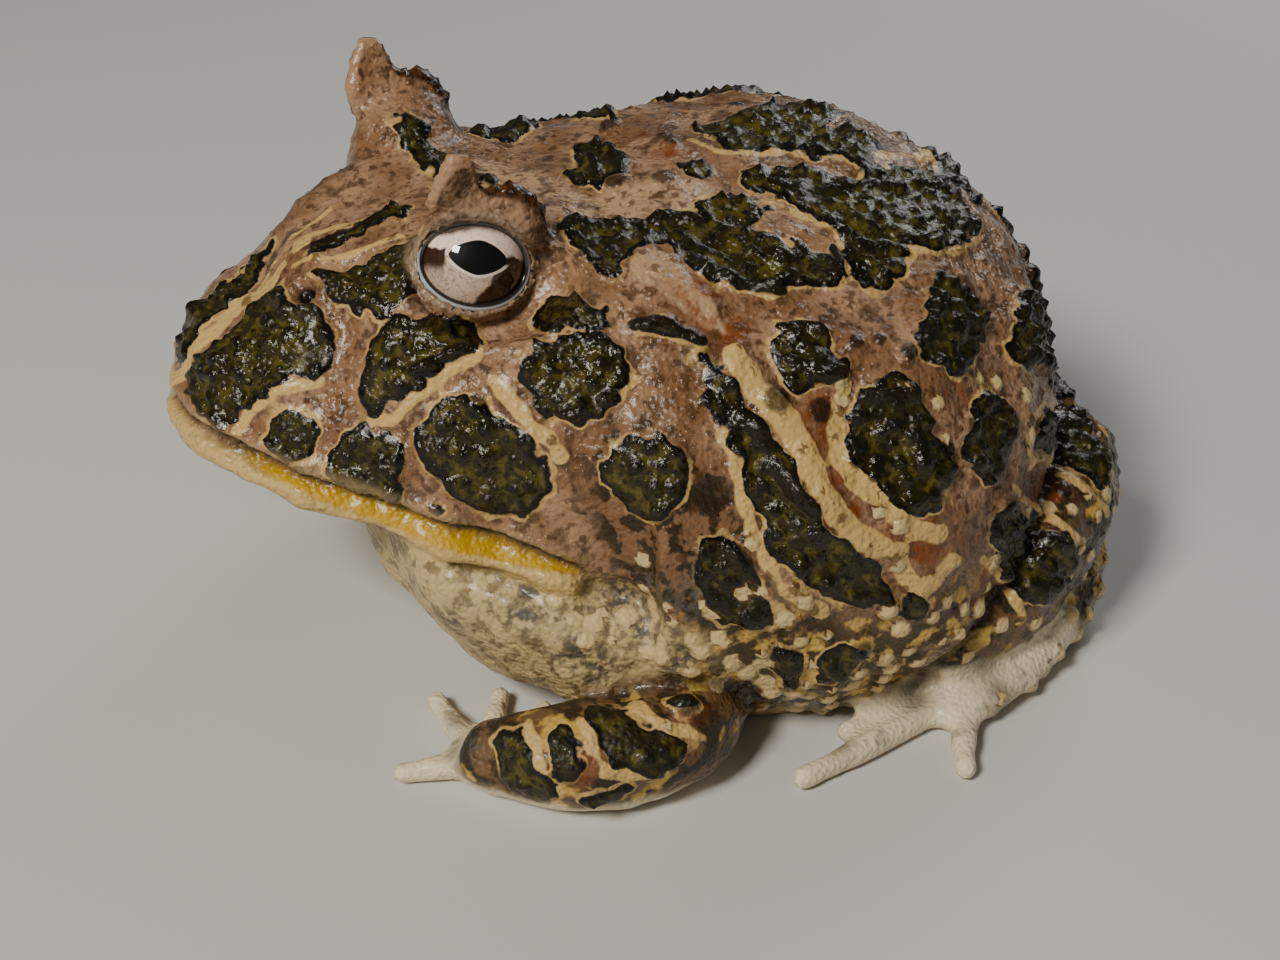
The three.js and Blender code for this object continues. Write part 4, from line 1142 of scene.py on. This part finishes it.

# Places of colour: rust and dusky spots with their radius, the pale wedge behind the eye, the
# pale nape, which is partly paler skin and partly painted light, the pale bridge of the nose,
# the dark network of the neck, and the two lips.
RUST_SPOTS = [(816, 425, 3.0), (842, 492, 3.4), (858, 512, 3.0), (918, 556, 3.0), (1050, 500, 3.2),
    (700, 300, 3.0), (728, 325, 2.6), (990, 588, 2.6), (812, 380, 2.0), (960, 400, 2.0),
    (572, 760, 2.6), (735, 400, 1.6), (905, 530, 2.4), (655, 135, 2.2), (690, 700, 2.0)]
DUSK_SPOTS = [(522, 614, 2.6), (530, 588, 2.2), (456, 617, 1.8), (650, 590, 3.0), (575, 655, 3.0),
    (620, 600, 3.2), (600, 670, 2.6), (690, 600, 3.4), (640, 630, 2.4), (680, 660, 2.6),
    (455, 718, 1.6), (450, 752, 1.3), (474, 745, 1.2), (838, 745, 2.0), (915, 700, 2.4),
    (985, 665, 2.6), (1000, 690, 2.0)]
WEDGE = [(626, 272), (634, 254), (656, 252), (682, 268), (704, 290), (716, 312), (729, 340),
         (700, 325), (668, 300)]
NAPE = [(490, 165), (540, 195), (590, 205), (640, 198), (690, 196)]
NOSE_BRIDGE = [(215, 318), (258, 275), (300, 240), (350, 205), (400, 190)]
NECK = [(632, 470), (640, 530), (655, 585), (690, 610), (700, 560), (690, 500), (745, 640),
        (800, 650)]


def soft_spots(spots):
    """1 in the middle of each spot and 0 off it, for spots of [pixel across, down, radius]."""
    field = np.zeros(len(points))
    for across, down, radius in spots:
        hit = on_skin((across, down))
        if hit is not None:
            field = np.maximum(field, hill(from_place(hit[0]), radius))
    return field


on_lips = ease(np.abs(side_x) - lip_half, -6, -4) * ease(-y, 18, 20)
mouth_zone = ease(37.2 - back_b, 0, 0.8) * on_lips
inner_lip = ease(-mouth_up, 0.25, 0.45) * ease(gape + 0.25 + mouth_up, 0, 0.35) * mouth_zone
outer_lip = ease(-mouth_up - gape, 0.0, 0.3) * ease(gape + 3.0 + mouth_up, 0, 0.9) * mouth_zone
FIELDS = {
    "blotch": blotch, "cream_line": line, "welt": welt, "wart": wart, "wart_pale": wart_pale,
    "rust": soft_spots(RUST_SPOTS), "dusk": soft_spots(DUSK_SPOTS),
    "pale": pale, "white": white, "limb": on_limb, "lid": lid_zone, "pit": pit,
    "low_side": ease(26 - z, 0, 12) * off_head * outer * (1 - on_limb),
    "neck": ease(7.0 - from_line(NECK), 0, 4.0) * (1 - on_limb),
    "wedge": from_outline(WEDGE), "nape": from_line(NAPE), "bridge": from_line(NOSE_BRIDGE),
    "crest": crest_away, "behind_horn": ease(back_b - EYE_PLACE[0], -4.2, -1.5),
    "inner_lip": inner_lip * ease(back_b, 2, 6), "outer_lip": outer_lip,
    "lip_edge": ease(2.2 - mouth_up, 0, 1.2) * ease(mouth_up, -0.1, 0.2) * mouth_zone,
    # painted shade: dark in the creases of the limbs and the jaw, and along the line of the mouth
    "shade": np.maximum(crease, hill(mouth_up, 0.5) * mouth_zone),
}


def write_field(mesh, name, field):
    """Puts one number of every vertex into the mesh, for the material to read."""
    values = mesh.attributes.new(name, "FLOAT", "POINT").data
    values.foreach_set("value", field.astype(np.float32))


for name, field in FIELDS.items():
    write_field(skin_mesh, name, field)


# Skin: moist and leathery. Taupe ground, olive blotches with black edges and a thin cream line
# round them, cream throat, belly and toes, and a yellow strip inside the lower lip.
class Maker:
    """Short ways to add and join nodes of one tree."""

    def __init__(self, tree):
        self.tree = tree

    def add(self, kind, **values):
        node = self.tree.nodes.new(kind)
        for key, value in values.items():
            setattr(node, key, value)
        return node

    def feed(self, socket, value):
        if isinstance(value, bpy.types.NodeSocket):
            self.tree.links.new(value, socket)
        else:
            socket.default_value = value

    def math(self, operation, a, b=0.0):
        node = self.add("ShaderNodeMath", operation=operation)
        for socket, value in zip(node.inputs, (a, b)):
            self.feed(socket, value)
        return node.outputs[0]

    def times(self, *factors):
        product = factors[0]
        for factor in factors[1:]:
            product = self.math("MULTIPLY", product, factor)
        return product

    def step(self, value, low, high, to_low=0.0, to_high=1.0):
        """Smooth step: to_low where the value is at low, to_high where it is at high."""
        node = self.add("ShaderNodeMapRange", interpolation_type="SMOOTHSTEP")
        for socket, v in zip(node.inputs, (value, low, high, to_low, to_high)):
            self.feed(socket, v)
        return node.outputs[0]

    def mix(self, share, a, b, strength=1.0):
        """Colour a turned to b by a share, and by no more than the strength."""
        node = self.add("ShaderNodeMix", data_type="RGBA")
        self.feed(node.inputs["Factor"], share if strength == 1.0 else self.times(share, strength))
        self.feed(node.inputs[6], a)
        self.feed(node.inputs[7], b)
        return node.outputs[2]

    def field(self, name):
        return self.add("ShaderNodeAttribute", attribute_name=name).outputs["Fac"]

    def noise(self, where, scale, detail=3.0, roughness=0.5):
        node = self.add("ShaderNodeTexNoise")
        self.feed(node.inputs["Vector"], where)
        node.inputs["Scale"].default_value = scale
        node.inputs["Detail"].default_value = detail
        node.inputs["Roughness"].default_value = roughness
        return node.outputs["Fac"]

    def cells(self, where, scale):
        node = self.add("ShaderNodeTexVoronoi", feature="SMOOTH_F1")
        self.feed(node.inputs["Vector"], where)
        node.inputs["Scale"].default_value = scale
        return node.outputs["Distance"]


TAUPE, TAUPE_DARK = (0.200, 0.100, 0.044, 1), (0.050, 0.021, 0.007, 1)
# The nape's pale is partly paler skin and partly painted light.
TAUPE_PALE, NAPE_PALE_AND_LIT = (0.37, 0.215, 0.120, 1), (0.50, 0.32, 0.18, 1)
CREAM, YELLOW_CREAM = (0.58, 0.38, 0.13, 1), (0.56, 0.36, 0.07, 1)
OLIVE, OLIVE_LIGHT = (0.022, 0.0160, 0.0020, 1), (0.080, 0.064, 0.006, 1)
BLACK, WELT_BLACK = (0.0040, 0.0026, 0.0009, 1), (0.012, 0.0075, 0.002, 1)
RUST, YELLOW, WHITE = (0.19, 0.042, 0.004, 1), (0.50, 0.285, 0.003, 1), (0.80, 0.68, 0.46, 1)
BROWN, DUSKY = (0.085, 0.036, 0.010, 1), (0.085, 0.058, 0.026, 1)
LIMB_BROWN, LIMB_DARK = (0.150, 0.082, 0.032, 1), (0.028, 0.017, 0.006, 1)
SIDE_DARK, WEDGE_PALE = (0.045, 0.027, 0.007, 1), (0.44, 0.27, 0.15, 1)
THROAT_CREAM, DUSK_GREY = (0.52, 0.39, 0.18, 1), (0.09, 0.075, 0.06, 1)
TOE_DUSK, TOE_BROWN = (0.14, 0.11, 0.08, 1), (0.16, 0.12, 0.09, 1)
WART_CREAM, HORN_PALE = (0.62, 0.46, 0.21, 1), (0.38, 0.22, 0.12, 1)
CREST_RUST, CREST_DARK = (0.085, 0.032, 0.008, 1), (0.022, 0.009, 0.003, 1)
LID_PALE, LID_DARK = (0.30, 0.21, 0.13, 1), (0.17, 0.105, 0.06, 1)
LIP_EDGE, LIP_CREAM = (0.40, 0.28, 0.14, 1), (0.56, 0.38, 0.14, 1)
# The pit's colour at the end of the next line is painted shade, for the inside of the nostril.
LIP_BROWN, PIT_PAINTED_SHADE = (0.24, 0.13, 0.05, 1), (0.006, 0.004, 0.002, 1)
# Painted shade, for the creases and the line of the mouth.
PAINTED_SHADE_DARK = (0.018, 0.008, 0.003, 1)


def ground_colour(m, where, grain):
    """Colour between the blotches: mottled taupe with freckles, other grounds laid over it zone
    by zone, then dusky and rust spots."""
    limb, low_side = m.field("limb"), m.field("low_side")
    ground = m.mix(m.step(m.noise(where, 150, 3), 0.38, 0.62), TAUPE, TAUPE_PALE)
    ground = m.mix(m.step(m.field("bridge"), 3.0, 0.5), ground, TAUPE_PALE, 0.7)
    # Pale nape: partly the skin's paler tone, partly painted light where the lamps leave it dim.
    ground = m.mix(m.step(m.field("nape"), 5.0, 2.0), ground, NAPE_PALE_AND_LIT, 0.8)
    ground = m.mix(m.step(m.noise(where, 300, 4), 0.54, 0.66), ground, TAUPE_DARK, 0.75)
    ground = m.mix(m.step(grain, 0.50, 0.70), ground, TAUPE_DARK, 0.55)
    ground = m.mix(m.step(m.noise(where, 760, 3), 0.56, 0.64), ground, TAUPE_DARK, 0.7)
    neck = m.mix(m.step(m.noise(where, 420, 4), 0.47, 0.54), TAUPE, LIMB_DARK)
    ground = m.mix(m.field("neck"), ground, neck)
    mottled = m.mix(m.step(m.noise(where, 340, 4), 0.42, 0.54), LIMB_BROWN, LIMB_DARK)
    mottled = m.mix(m.step(m.noise(where, 230, 3), 0.58, 0.66), mottled, YELLOW_CREAM)
    ground = m.mix(limb, ground, mottled)
    side = m.mix(m.step(m.noise(where, 420, 4), 0.38, 0.50), YELLOW_CREAM, SIDE_DARK)
    ground = m.mix(low_side, ground, side)
    wedge = m.mix(m.step(grain, 0.55, 0.7), WEDGE_PALE, TAUPE_DARK, 0.4)
    ground = m.mix(m.step(m.field("wedge"), 0.3, -0.3), ground, wedge)
    throat = m.mix(m.step(m.noise(where, 520, 5, 0.6), 0.47, 0.60), THROAT_CREAM, DUSKY, 0.7)
    ground = m.mix(m.times(m.field("pale"), m.math("SUBTRACT", 1.0, limb)), ground, throat)
    ground = m.mix(m.times(m.field("dusk"), m.step(grain, 0.42, 0.56)), ground, DUSK_GREY)
    rusty = m.step(m.noise(where, 380, 3), 0.38, 0.56)
    return m.mix(m.times(m.field("rust"), rusty), ground, RUST)


def skin_material():
    material = bpy.data.materials.new("frog_skin")
    material.use_nodes = True
    m = Maker(material.node_tree)
    shader = material.node_tree.nodes["Principled BSDF"]
    where = m.add("ShaderNodeTexCoord").outputs["Object"]
    grain = m.noise(where, 1100, 4)
    edge = m.math("SUBTRACT", m.noise(where, 620, 2), 0.5)
    blotch_d = m.math("ADD", m.field("blotch"), edge)
    line_d = m.math("ADD", m.field("cream_line"), m.times(edge, 0.5))
    white, crest_d = m.field("white"), m.field("crest")
    coloured = m.math("SUBTRACT", 1.0, white)

    ground = ground_colour(m, where, grain)
    ground = m.mix(m.step(line_d, 0.15, -0.15), ground, CREAM)
    edge_wide = m.step(m.noise(where, 260, 2), 0.35, 0.65, 0.35, 1.0)
    stretches = m.step(m.noise(where, 110, 2), 0.44, 0.54, 0.12, 0.8)
    cream_edge = m.times(m.step(m.math("DIVIDE", blotch_d, edge_wide), 0.80, 0.45), stretches)
    ground = m.mix(m.times(cream_edge, coloured), ground, CREAM)

    olive = m.mix(m.step(m.noise(where, 620, 5, 0.6), 0.44, 0.62), OLIVE, OLIVE_LIGHT)
    spot = m.mix(m.step(blotch_d, -0.95, -0.35), olive, BLACK)
    colour = m.mix(m.times(m.step(blotch_d, 0.10, -0.10), coloured), ground, spot)
    toes = m.mix(m.field("dusk"), WHITE, TOE_DUSK, 0.8)
    toes = m.mix(m.step(m.noise(where, 300, 4), 0.60, 0.70), toes, TOE_BROWN, 0.5)
    colour = m.mix(white, colour, toes)

    wart, kind = m.field("wart"), m.field("wart_pale")
    knob = m.step(wart, 0.05, 0.65)
    colour = m.mix(m.times(knob, m.step(kind, 0.35, 0.42)), colour, BROWN, 0.75)
    colour = m.mix(m.times(knob, m.step(kind, 0.7, 0.9)), colour, WART_CREAM)
    dark_wart = m.times(m.step(wart, 0.30, 0.70), m.step(kind, 0.25, 0.05))
    colour = m.mix(dark_wart, colour, BLACK, 0.8)
    colour = m.mix(m.step(m.field("welt"), 1.05, 0.8), colour, WELT_BLACK)

    crest = m.mix(m.step(m.noise(where, 900, 3), 0.42, 0.58), CREST_RUST, CREST_DARK)
    crest = m.mix(m.field("behind_horn"), HORN_PALE, crest)
    colour = m.mix(m.step(crest_d, 1.15, 0.75), colour, crest)
    lid = m.mix(m.step(grain, 0.4, 0.65), LID_PALE, LID_DARK)
    colour = m.mix(m.times(m.field("lid"), m.step(crest_d, 0.8, 1.3)), colour, lid)

    colour = m.mix(m.field("lip_edge"), colour, LIP_EDGE, 0.45)
    lip = m.mix(m.step(grain, 0.52, 0.7), LIP_CREAM, LIP_BROWN, 0.45)
    colour = m.mix(m.field("outer_lip"), colour, lip)
    colour = m.mix(m.field("inner_lip"), colour, YELLOW)
    # Painted shade in the nostril's pit.
    colour = m.mix(m.step(m.field("pit"), 1.3, 0.8), colour, PIT_PAINTED_SHADE)
    # Painted shade over the colour in the creases and along the line of the mouth.
    m.feed(shader.inputs["Base Color"], m.mix(m.field("shade"), colour, PAINTED_SHADE_DARK, 0.95))

    wet = m.step(m.noise(where, 240, 2), 0.35, 0.65, 0.20, 0.38)
    m.feed(shader.inputs["Roughness"], m.step(m.field("pale"), 0.0, 1.0, wet, 0.5))
    shader.inputs["Specular IOR Level"].default_value = 0.32
    shader.inputs["Coat Weight"].default_value = 0.14
    shader.inputs["Coat Roughness"].default_value = 0.10
    bump = m.add("ShaderNodeBump")
    bump.inputs["Strength"].default_value = 0.85
    bump.inputs["Distance"].default_value = 0.0004
    granules, pores = m.cells(where, 1700), m.noise(where, 3000, 3)
    m.feed(bump.inputs["Height"], m.math("ADD", m.times(granules, -0.75), m.times(pores, 0.25)))
    m.feed(shader.inputs["Normal"], bump.outputs["Normal"])
    return material


PAIRED = "upper_eyelid", "upper_arm", "forearm", "hand", "thigh", "shank", "foot"
skin_mesh.materials.clear()
skin_mesh.materials.append(skin_material())
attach(skin, "root")
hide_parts("head", "lower_jaw", "throat", "torso",
            *[f"{part}_{side}" for side in ("left", "right") for part in PAIRED])


# Eyes: balls under the lids, each with a silver iris veined with brown, brown patches at its two
# ends, and a level black pupil like a rounded lozenge, all under a wet clear surface.
def eye_ball(side):
    """Sphere as rings about the frog's sideways axis, closed to a point at either end."""
    u, angle = grid(47, 96)
    lift = -np.pi / 2 + np.pi * (u * 46 + 1) / 48
    back, sideways, up = EYE_PLACE
    rings = from_head(back + EYE_RADIUS * np.cos(lift) * np.sin(angle),
                      side * (sideways + EYE_RADIUS * np.sin(lift)),
                      up + EYE_RADIUS * np.cos(lift) * np.cos(angle))
    form = closed_form(rings[:, ::side], rings[0].mean(0), rings[-1].mean(0))
    return joined_mesh([form], "eyeball")


PUPIL_HALF = [3.0, 1.75]  # level and upright, in millimetres
PUPIL_RISE = 0.45
PUPIL_POWER = 1.55  # 1 is a lozenge, 2 an oval
IRIS_EDGE = 5.35, 5.7  # where the iris darkens, from the line of the gaze
PEARL, SILVER, VEIN = (0.56, 0.40, 0.29, 1), (0.95, 0.74, 0.64, 1), (0.12, 0.05, 0.03, 1)
IRIS_DARK, IRIS_BROWN = (0.012, 0.005, 0.002, 1), (0.055, 0.022, 0.008, 1)
PUPIL_RIM, PUPIL = (0.85, 0.76, 0.62, 1), (0.002, 0.002, 0.002, 1)
RIM_DARK = (0.02, 0.015, 0.012, 1)


def iris_material():
    material = bpy.data.materials.new("eye")
    material.use_nodes = True
    m = Maker(material.node_tree)
    shader = material.node_tree.nodes["Principled BSDF"]
    where = m.add("ShaderNodeTexCoord").outputs["Object"]
    along, high = m.field("iris_along"), m.field("iris_up")
    wobble = m.math("SUBTRACT", m.noise(where, 700, 3), 0.5)
    wide = m.math("ABSOLUTE", m.math("DIVIDE", along, PUPIL_HALF[0]))
    above_pupil = m.math("ABSOLUTE", m.math("SUBTRACT", high, PUPIL_RISE))
    tall = m.math("DIVIDE", above_pupil, PUPIL_HALF[1])
    wide, tall = (m.math("POWER", off, PUPIL_POWER) for off in (wide, tall))
    lozenge = m.math("ADD", wide, tall)

    upper = m.step(high, 0.2, 0.3)
    silver = m.mix(upper, PEARL, SILVER)
    off_vein = m.math("ABSOLUTE", m.math("SUBTRACT", m.noise(where, 800, 5, 0.6), 0.5))
    vein = m.times(m.step(off_vein, 0.022, 0.004), m.step(upper, 0.0, 1.0, 0.7, 0.35))
    silver = m.mix(vein, silver, VEIN)
    ragged = m.math("ADD", high, m.times(wobble, 1.6))
    slanted = m.math("ADD", m.math("ADD", along, m.times(high, -0.5)), m.times(wobble, 1.2))
    low_rear = m.times(m.step(slanted, 2.2, 2.6), m.step(ragged, 1.0, 0.6))
    level_band = m.times(m.step(ragged, 1.1, 0.7), m.step(ragged, -2.4, -0.6))
    far_along = m.math("ADD", m.math("ABSOLUTE", along), wobble)
    ends = m.times(m.step(far_along, 3.0, 3.3), level_band)
    brown = m.mix(m.noise(where, 1300, 3), IRIS_DARK, IRIS_BROWN)
    iris = m.mix(m.math("MAXIMUM", ends, low_rear), silver, brown)
    under_pupil = m.times(m.step(lozenge, 1.30, 1.18), m.step(high, 0.2, -0.2))
    iris = m.mix(under_pupil, iris, PUPIL_RIM, 0.9)
    iris = m.mix(m.step(m.field("iris_out"), *IRIS_EDGE), iris, RIM_DARK)
    m.feed(shader.inputs["Base Color"], m.mix(m.step(lozenge, 1.04, 0.98), iris, PUPIL))
    shader.inputs["Roughness"].default_value = 0.5
    shader.inputs["Specular IOR Level"].default_value = 0.1
    shader.inputs["Coat Weight"].default_value = 1.0
    shader.inputs["Coat Roughness"].default_value = 0.02
    return material


iris = iris_material()
for side, name in ((1, "left"), (-1, "right")):
    ball = bpy.data.objects.new(f"eyeball_{name}", eye_ball(side))
    bpy.context.collection.objects.link(ball)
    ahead, level_off, up_off = from_eye(read_vectors(ball.data, "co") * 1000, side)
    write_field(ball.data, "iris_along", level_off)
    write_field(ball.data, "iris_up", up_off)
    write_field(ball.data, "iris_out", np.where(ahead > 0, np.hypot(level_off, up_off), FAR_OFF))
    ball.data.polygons.foreach_set("use_smooth", [True] * len(ball.data.polygons))
    ball.data.materials.append(iris)
    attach(ball, "root")
    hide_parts(f"eye_{name}")


# Lid margins: a thin moist tube round the opening of each eye, dusky above and bluish white below.
# It lies on the edge where the skin of the lids meets the ball.
BLUE_WHITE, DUSKY_LID = (0.40, 0.42, 0.44, 1), (0.20, 0.14, 0.10, 1)


def margin_material():
    material = bpy.data.materials.new("lid_margin")
    material.use_nodes = True
    m = Maker(material.node_tree)
    shader = material.node_tree.nodes["Principled BSDF"]
    colour = m.mix(m.step(m.field("rim_up"), -1.2, 1.2), BLUE_WHITE, DUSKY_LID)
    colour = m.mix(m.step(m.field("rim_in"), -0.15, 0.15), colour, RIM_DARK)
    m.feed(shader.inputs["Base Color"], colour)
    shader.inputs["Roughness"].default_value = 0.22
    shader.inputs["Coat Weight"].default_value = 0.6
    return material


RIM_RADIUS, RIM_OFF_BALL = 0.42, 0.2
RIM_SPREAD = 1.03  # of the half sizes of the opening
RIM_STEPS, RIM_SIDES = 120, 14
DARK_INSIDE = 0.75  # past this share of the way in, the tube is dark


def rim_tube():
    """Circle carried round the oval of the opening laid on the ball, in the plane of the ball's
    radius there and the direction in towards the gaze: places from the eye's middle, how high
    each stands and how far in it faces."""
    t = np.linspace(0, 2 * np.pi, RIM_STEPS, endpoint=False)
    level_part = RIM_SPREAD * OPENING_HALF[0] * np.cos(t)
    up_part = RIM_SPREAD * OPENING_HALF[1] * np.sin(t) - OPENING_DROP
    ahead_part = np.sqrt(np.clip(1 - level_part**2 - up_part**2, 0.01, 1))
    sideways = level_part[:, None] * LEVEL + up_part[:, None] * ACROSS
    path = ahead_part[:, None] * GAZE + level_part[:, None] * LEVEL + up_part[:, None] * ACROSS
    path /= np.linalg.norm(path, axis=1)[:, None]
    inward = -sideways
    inward -= (inward * path).sum(1)[:, None] * path
    inward /= np.linalg.norm(inward, axis=1)[:, None]
    a = np.arange(RIM_SIDES)[:, None] * 2 * np.pi / RIM_SIDES
    out_by = EYE_RADIUS + RIM_OFF_BALL + RIM_RADIUS * np.cos(a)
    tube = path[:, None] * out_by + inward[:, None] * (RIM_RADIUS * np.sin(a))
    height = np.repeat(up_part, RIM_SIDES) * EYE_RADIUS
    return tube.reshape(-1, 3), height, np.tile(np.sin(a[:, 0]), RIM_STEPS)


def ring_faces(steps, sides, side):
    """Quads of a tube that closes on itself both ways, facing out on either side of the head."""
    i, j = np.meshgrid(np.arange(steps), np.arange(sides), indexing="ij")
    here, ahead, next_j = i * sides, (i + 1) % steps * sides, (j + 1) % sides
    corners = here + j, here + next_j, ahead + next_j, ahead + j
    return np.stack(corners[::side], -1).reshape(-1, 4).tolist()


margin = margin_material()
offsets, rim_up, rim_in = rim_tube()
for side, name in ((1, "left"), (-1, "right")):
    b, x, h = (EYE_PLACE + offsets).T
    form = from_head(b, side * x, h), ring_faces(RIM_STEPS, RIM_SIDES, side)
    mesh = joined_mesh([form], f"lid_margin_{name}")
    write_field(mesh, "rim_up", rim_up)
    write_field(mesh, "rim_in", rim_in - DARK_INSIDE)
    mesh.polygons.foreach_set("use_smooth", [True] * len(mesh.polygons))
    mesh.materials.append(margin)
    rim = bpy.data.objects.new(f"lid_margin_{name}", mesh)
    bpy.context.collection.objects.link(rim)
    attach(rim, "root")


# Floor and light: a plain pale floor, a soft key from the front left, a soft rim from behind and a
# dim even sky.
FLOOR_HALF, FLOOR_DROP = 3.0, 0.0001
FLOOR_PAINT, SKY_TINT = (0.62, 0.61, 0.58, 1), (0.75, 0.77, 0.80, 1)
LIT_PLACE = Vector((0, 0, 0.02))
KEY_TINT = (1.0, 0.95, 0.87)
floor_mesh = bpy.data.meshes.new("floor")
corners = [(x * FLOOR_HALF, y * FLOOR_HALF, 0) for x, y in ((-1, -1), (1, -1), (1, 1), (-1, 1))]
floor_mesh.from_pydata(corners, [], [(0, 1, 2, 3)])
floor = bpy.data.objects.new("floor", floor_mesh)
bpy.context.collection.objects.link(floor)
floor.location.z = -FLOOR_DROP
paint = bpy.data.materials.new("floor")
paint.use_nodes = True
floor_shader = paint.node_tree.nodes["Principled BSDF"]
floor_shader.inputs["Base Color"].default_value = FLOOR_PAINT
floor_shader.inputs["Roughness"].default_value = 0.8
floor_mesh.materials.append(paint)


def soft_light(name, place, size, power, tint=(1, 1, 1)):
    """Square light of a size in metres, turned to the frog."""
    lamp = bpy.data.lights.new(name, "AREA")
    lamp.size = size
    lamp.energy = power
    lamp.color = tint
    holder = bpy.data.objects.new(name, lamp)
    holder.location = place
    holder.rotation_euler = (LIT_PLACE - Vector(place)).to_track_quat("-Z", "Y").to_euler()
    bpy.context.collection.objects.link(holder)


soft_light("key", (0.30, -0.42, 0.50), size=0.15, power=4.7, tint=KEY_TINT)
soft_light("rim", (-0.35, 0.45, 0.40), size=0.30, power=1.3)
sky = bpy.data.worlds.new("sky")
sky.use_nodes = True
sky.node_tree.nodes["Background"].inputs["Color"].default_value = SKY_TINT
sky.node_tree.nodes["Background"].inputs["Strength"].default_value = 0.13
bpy.context.scene.world = sky
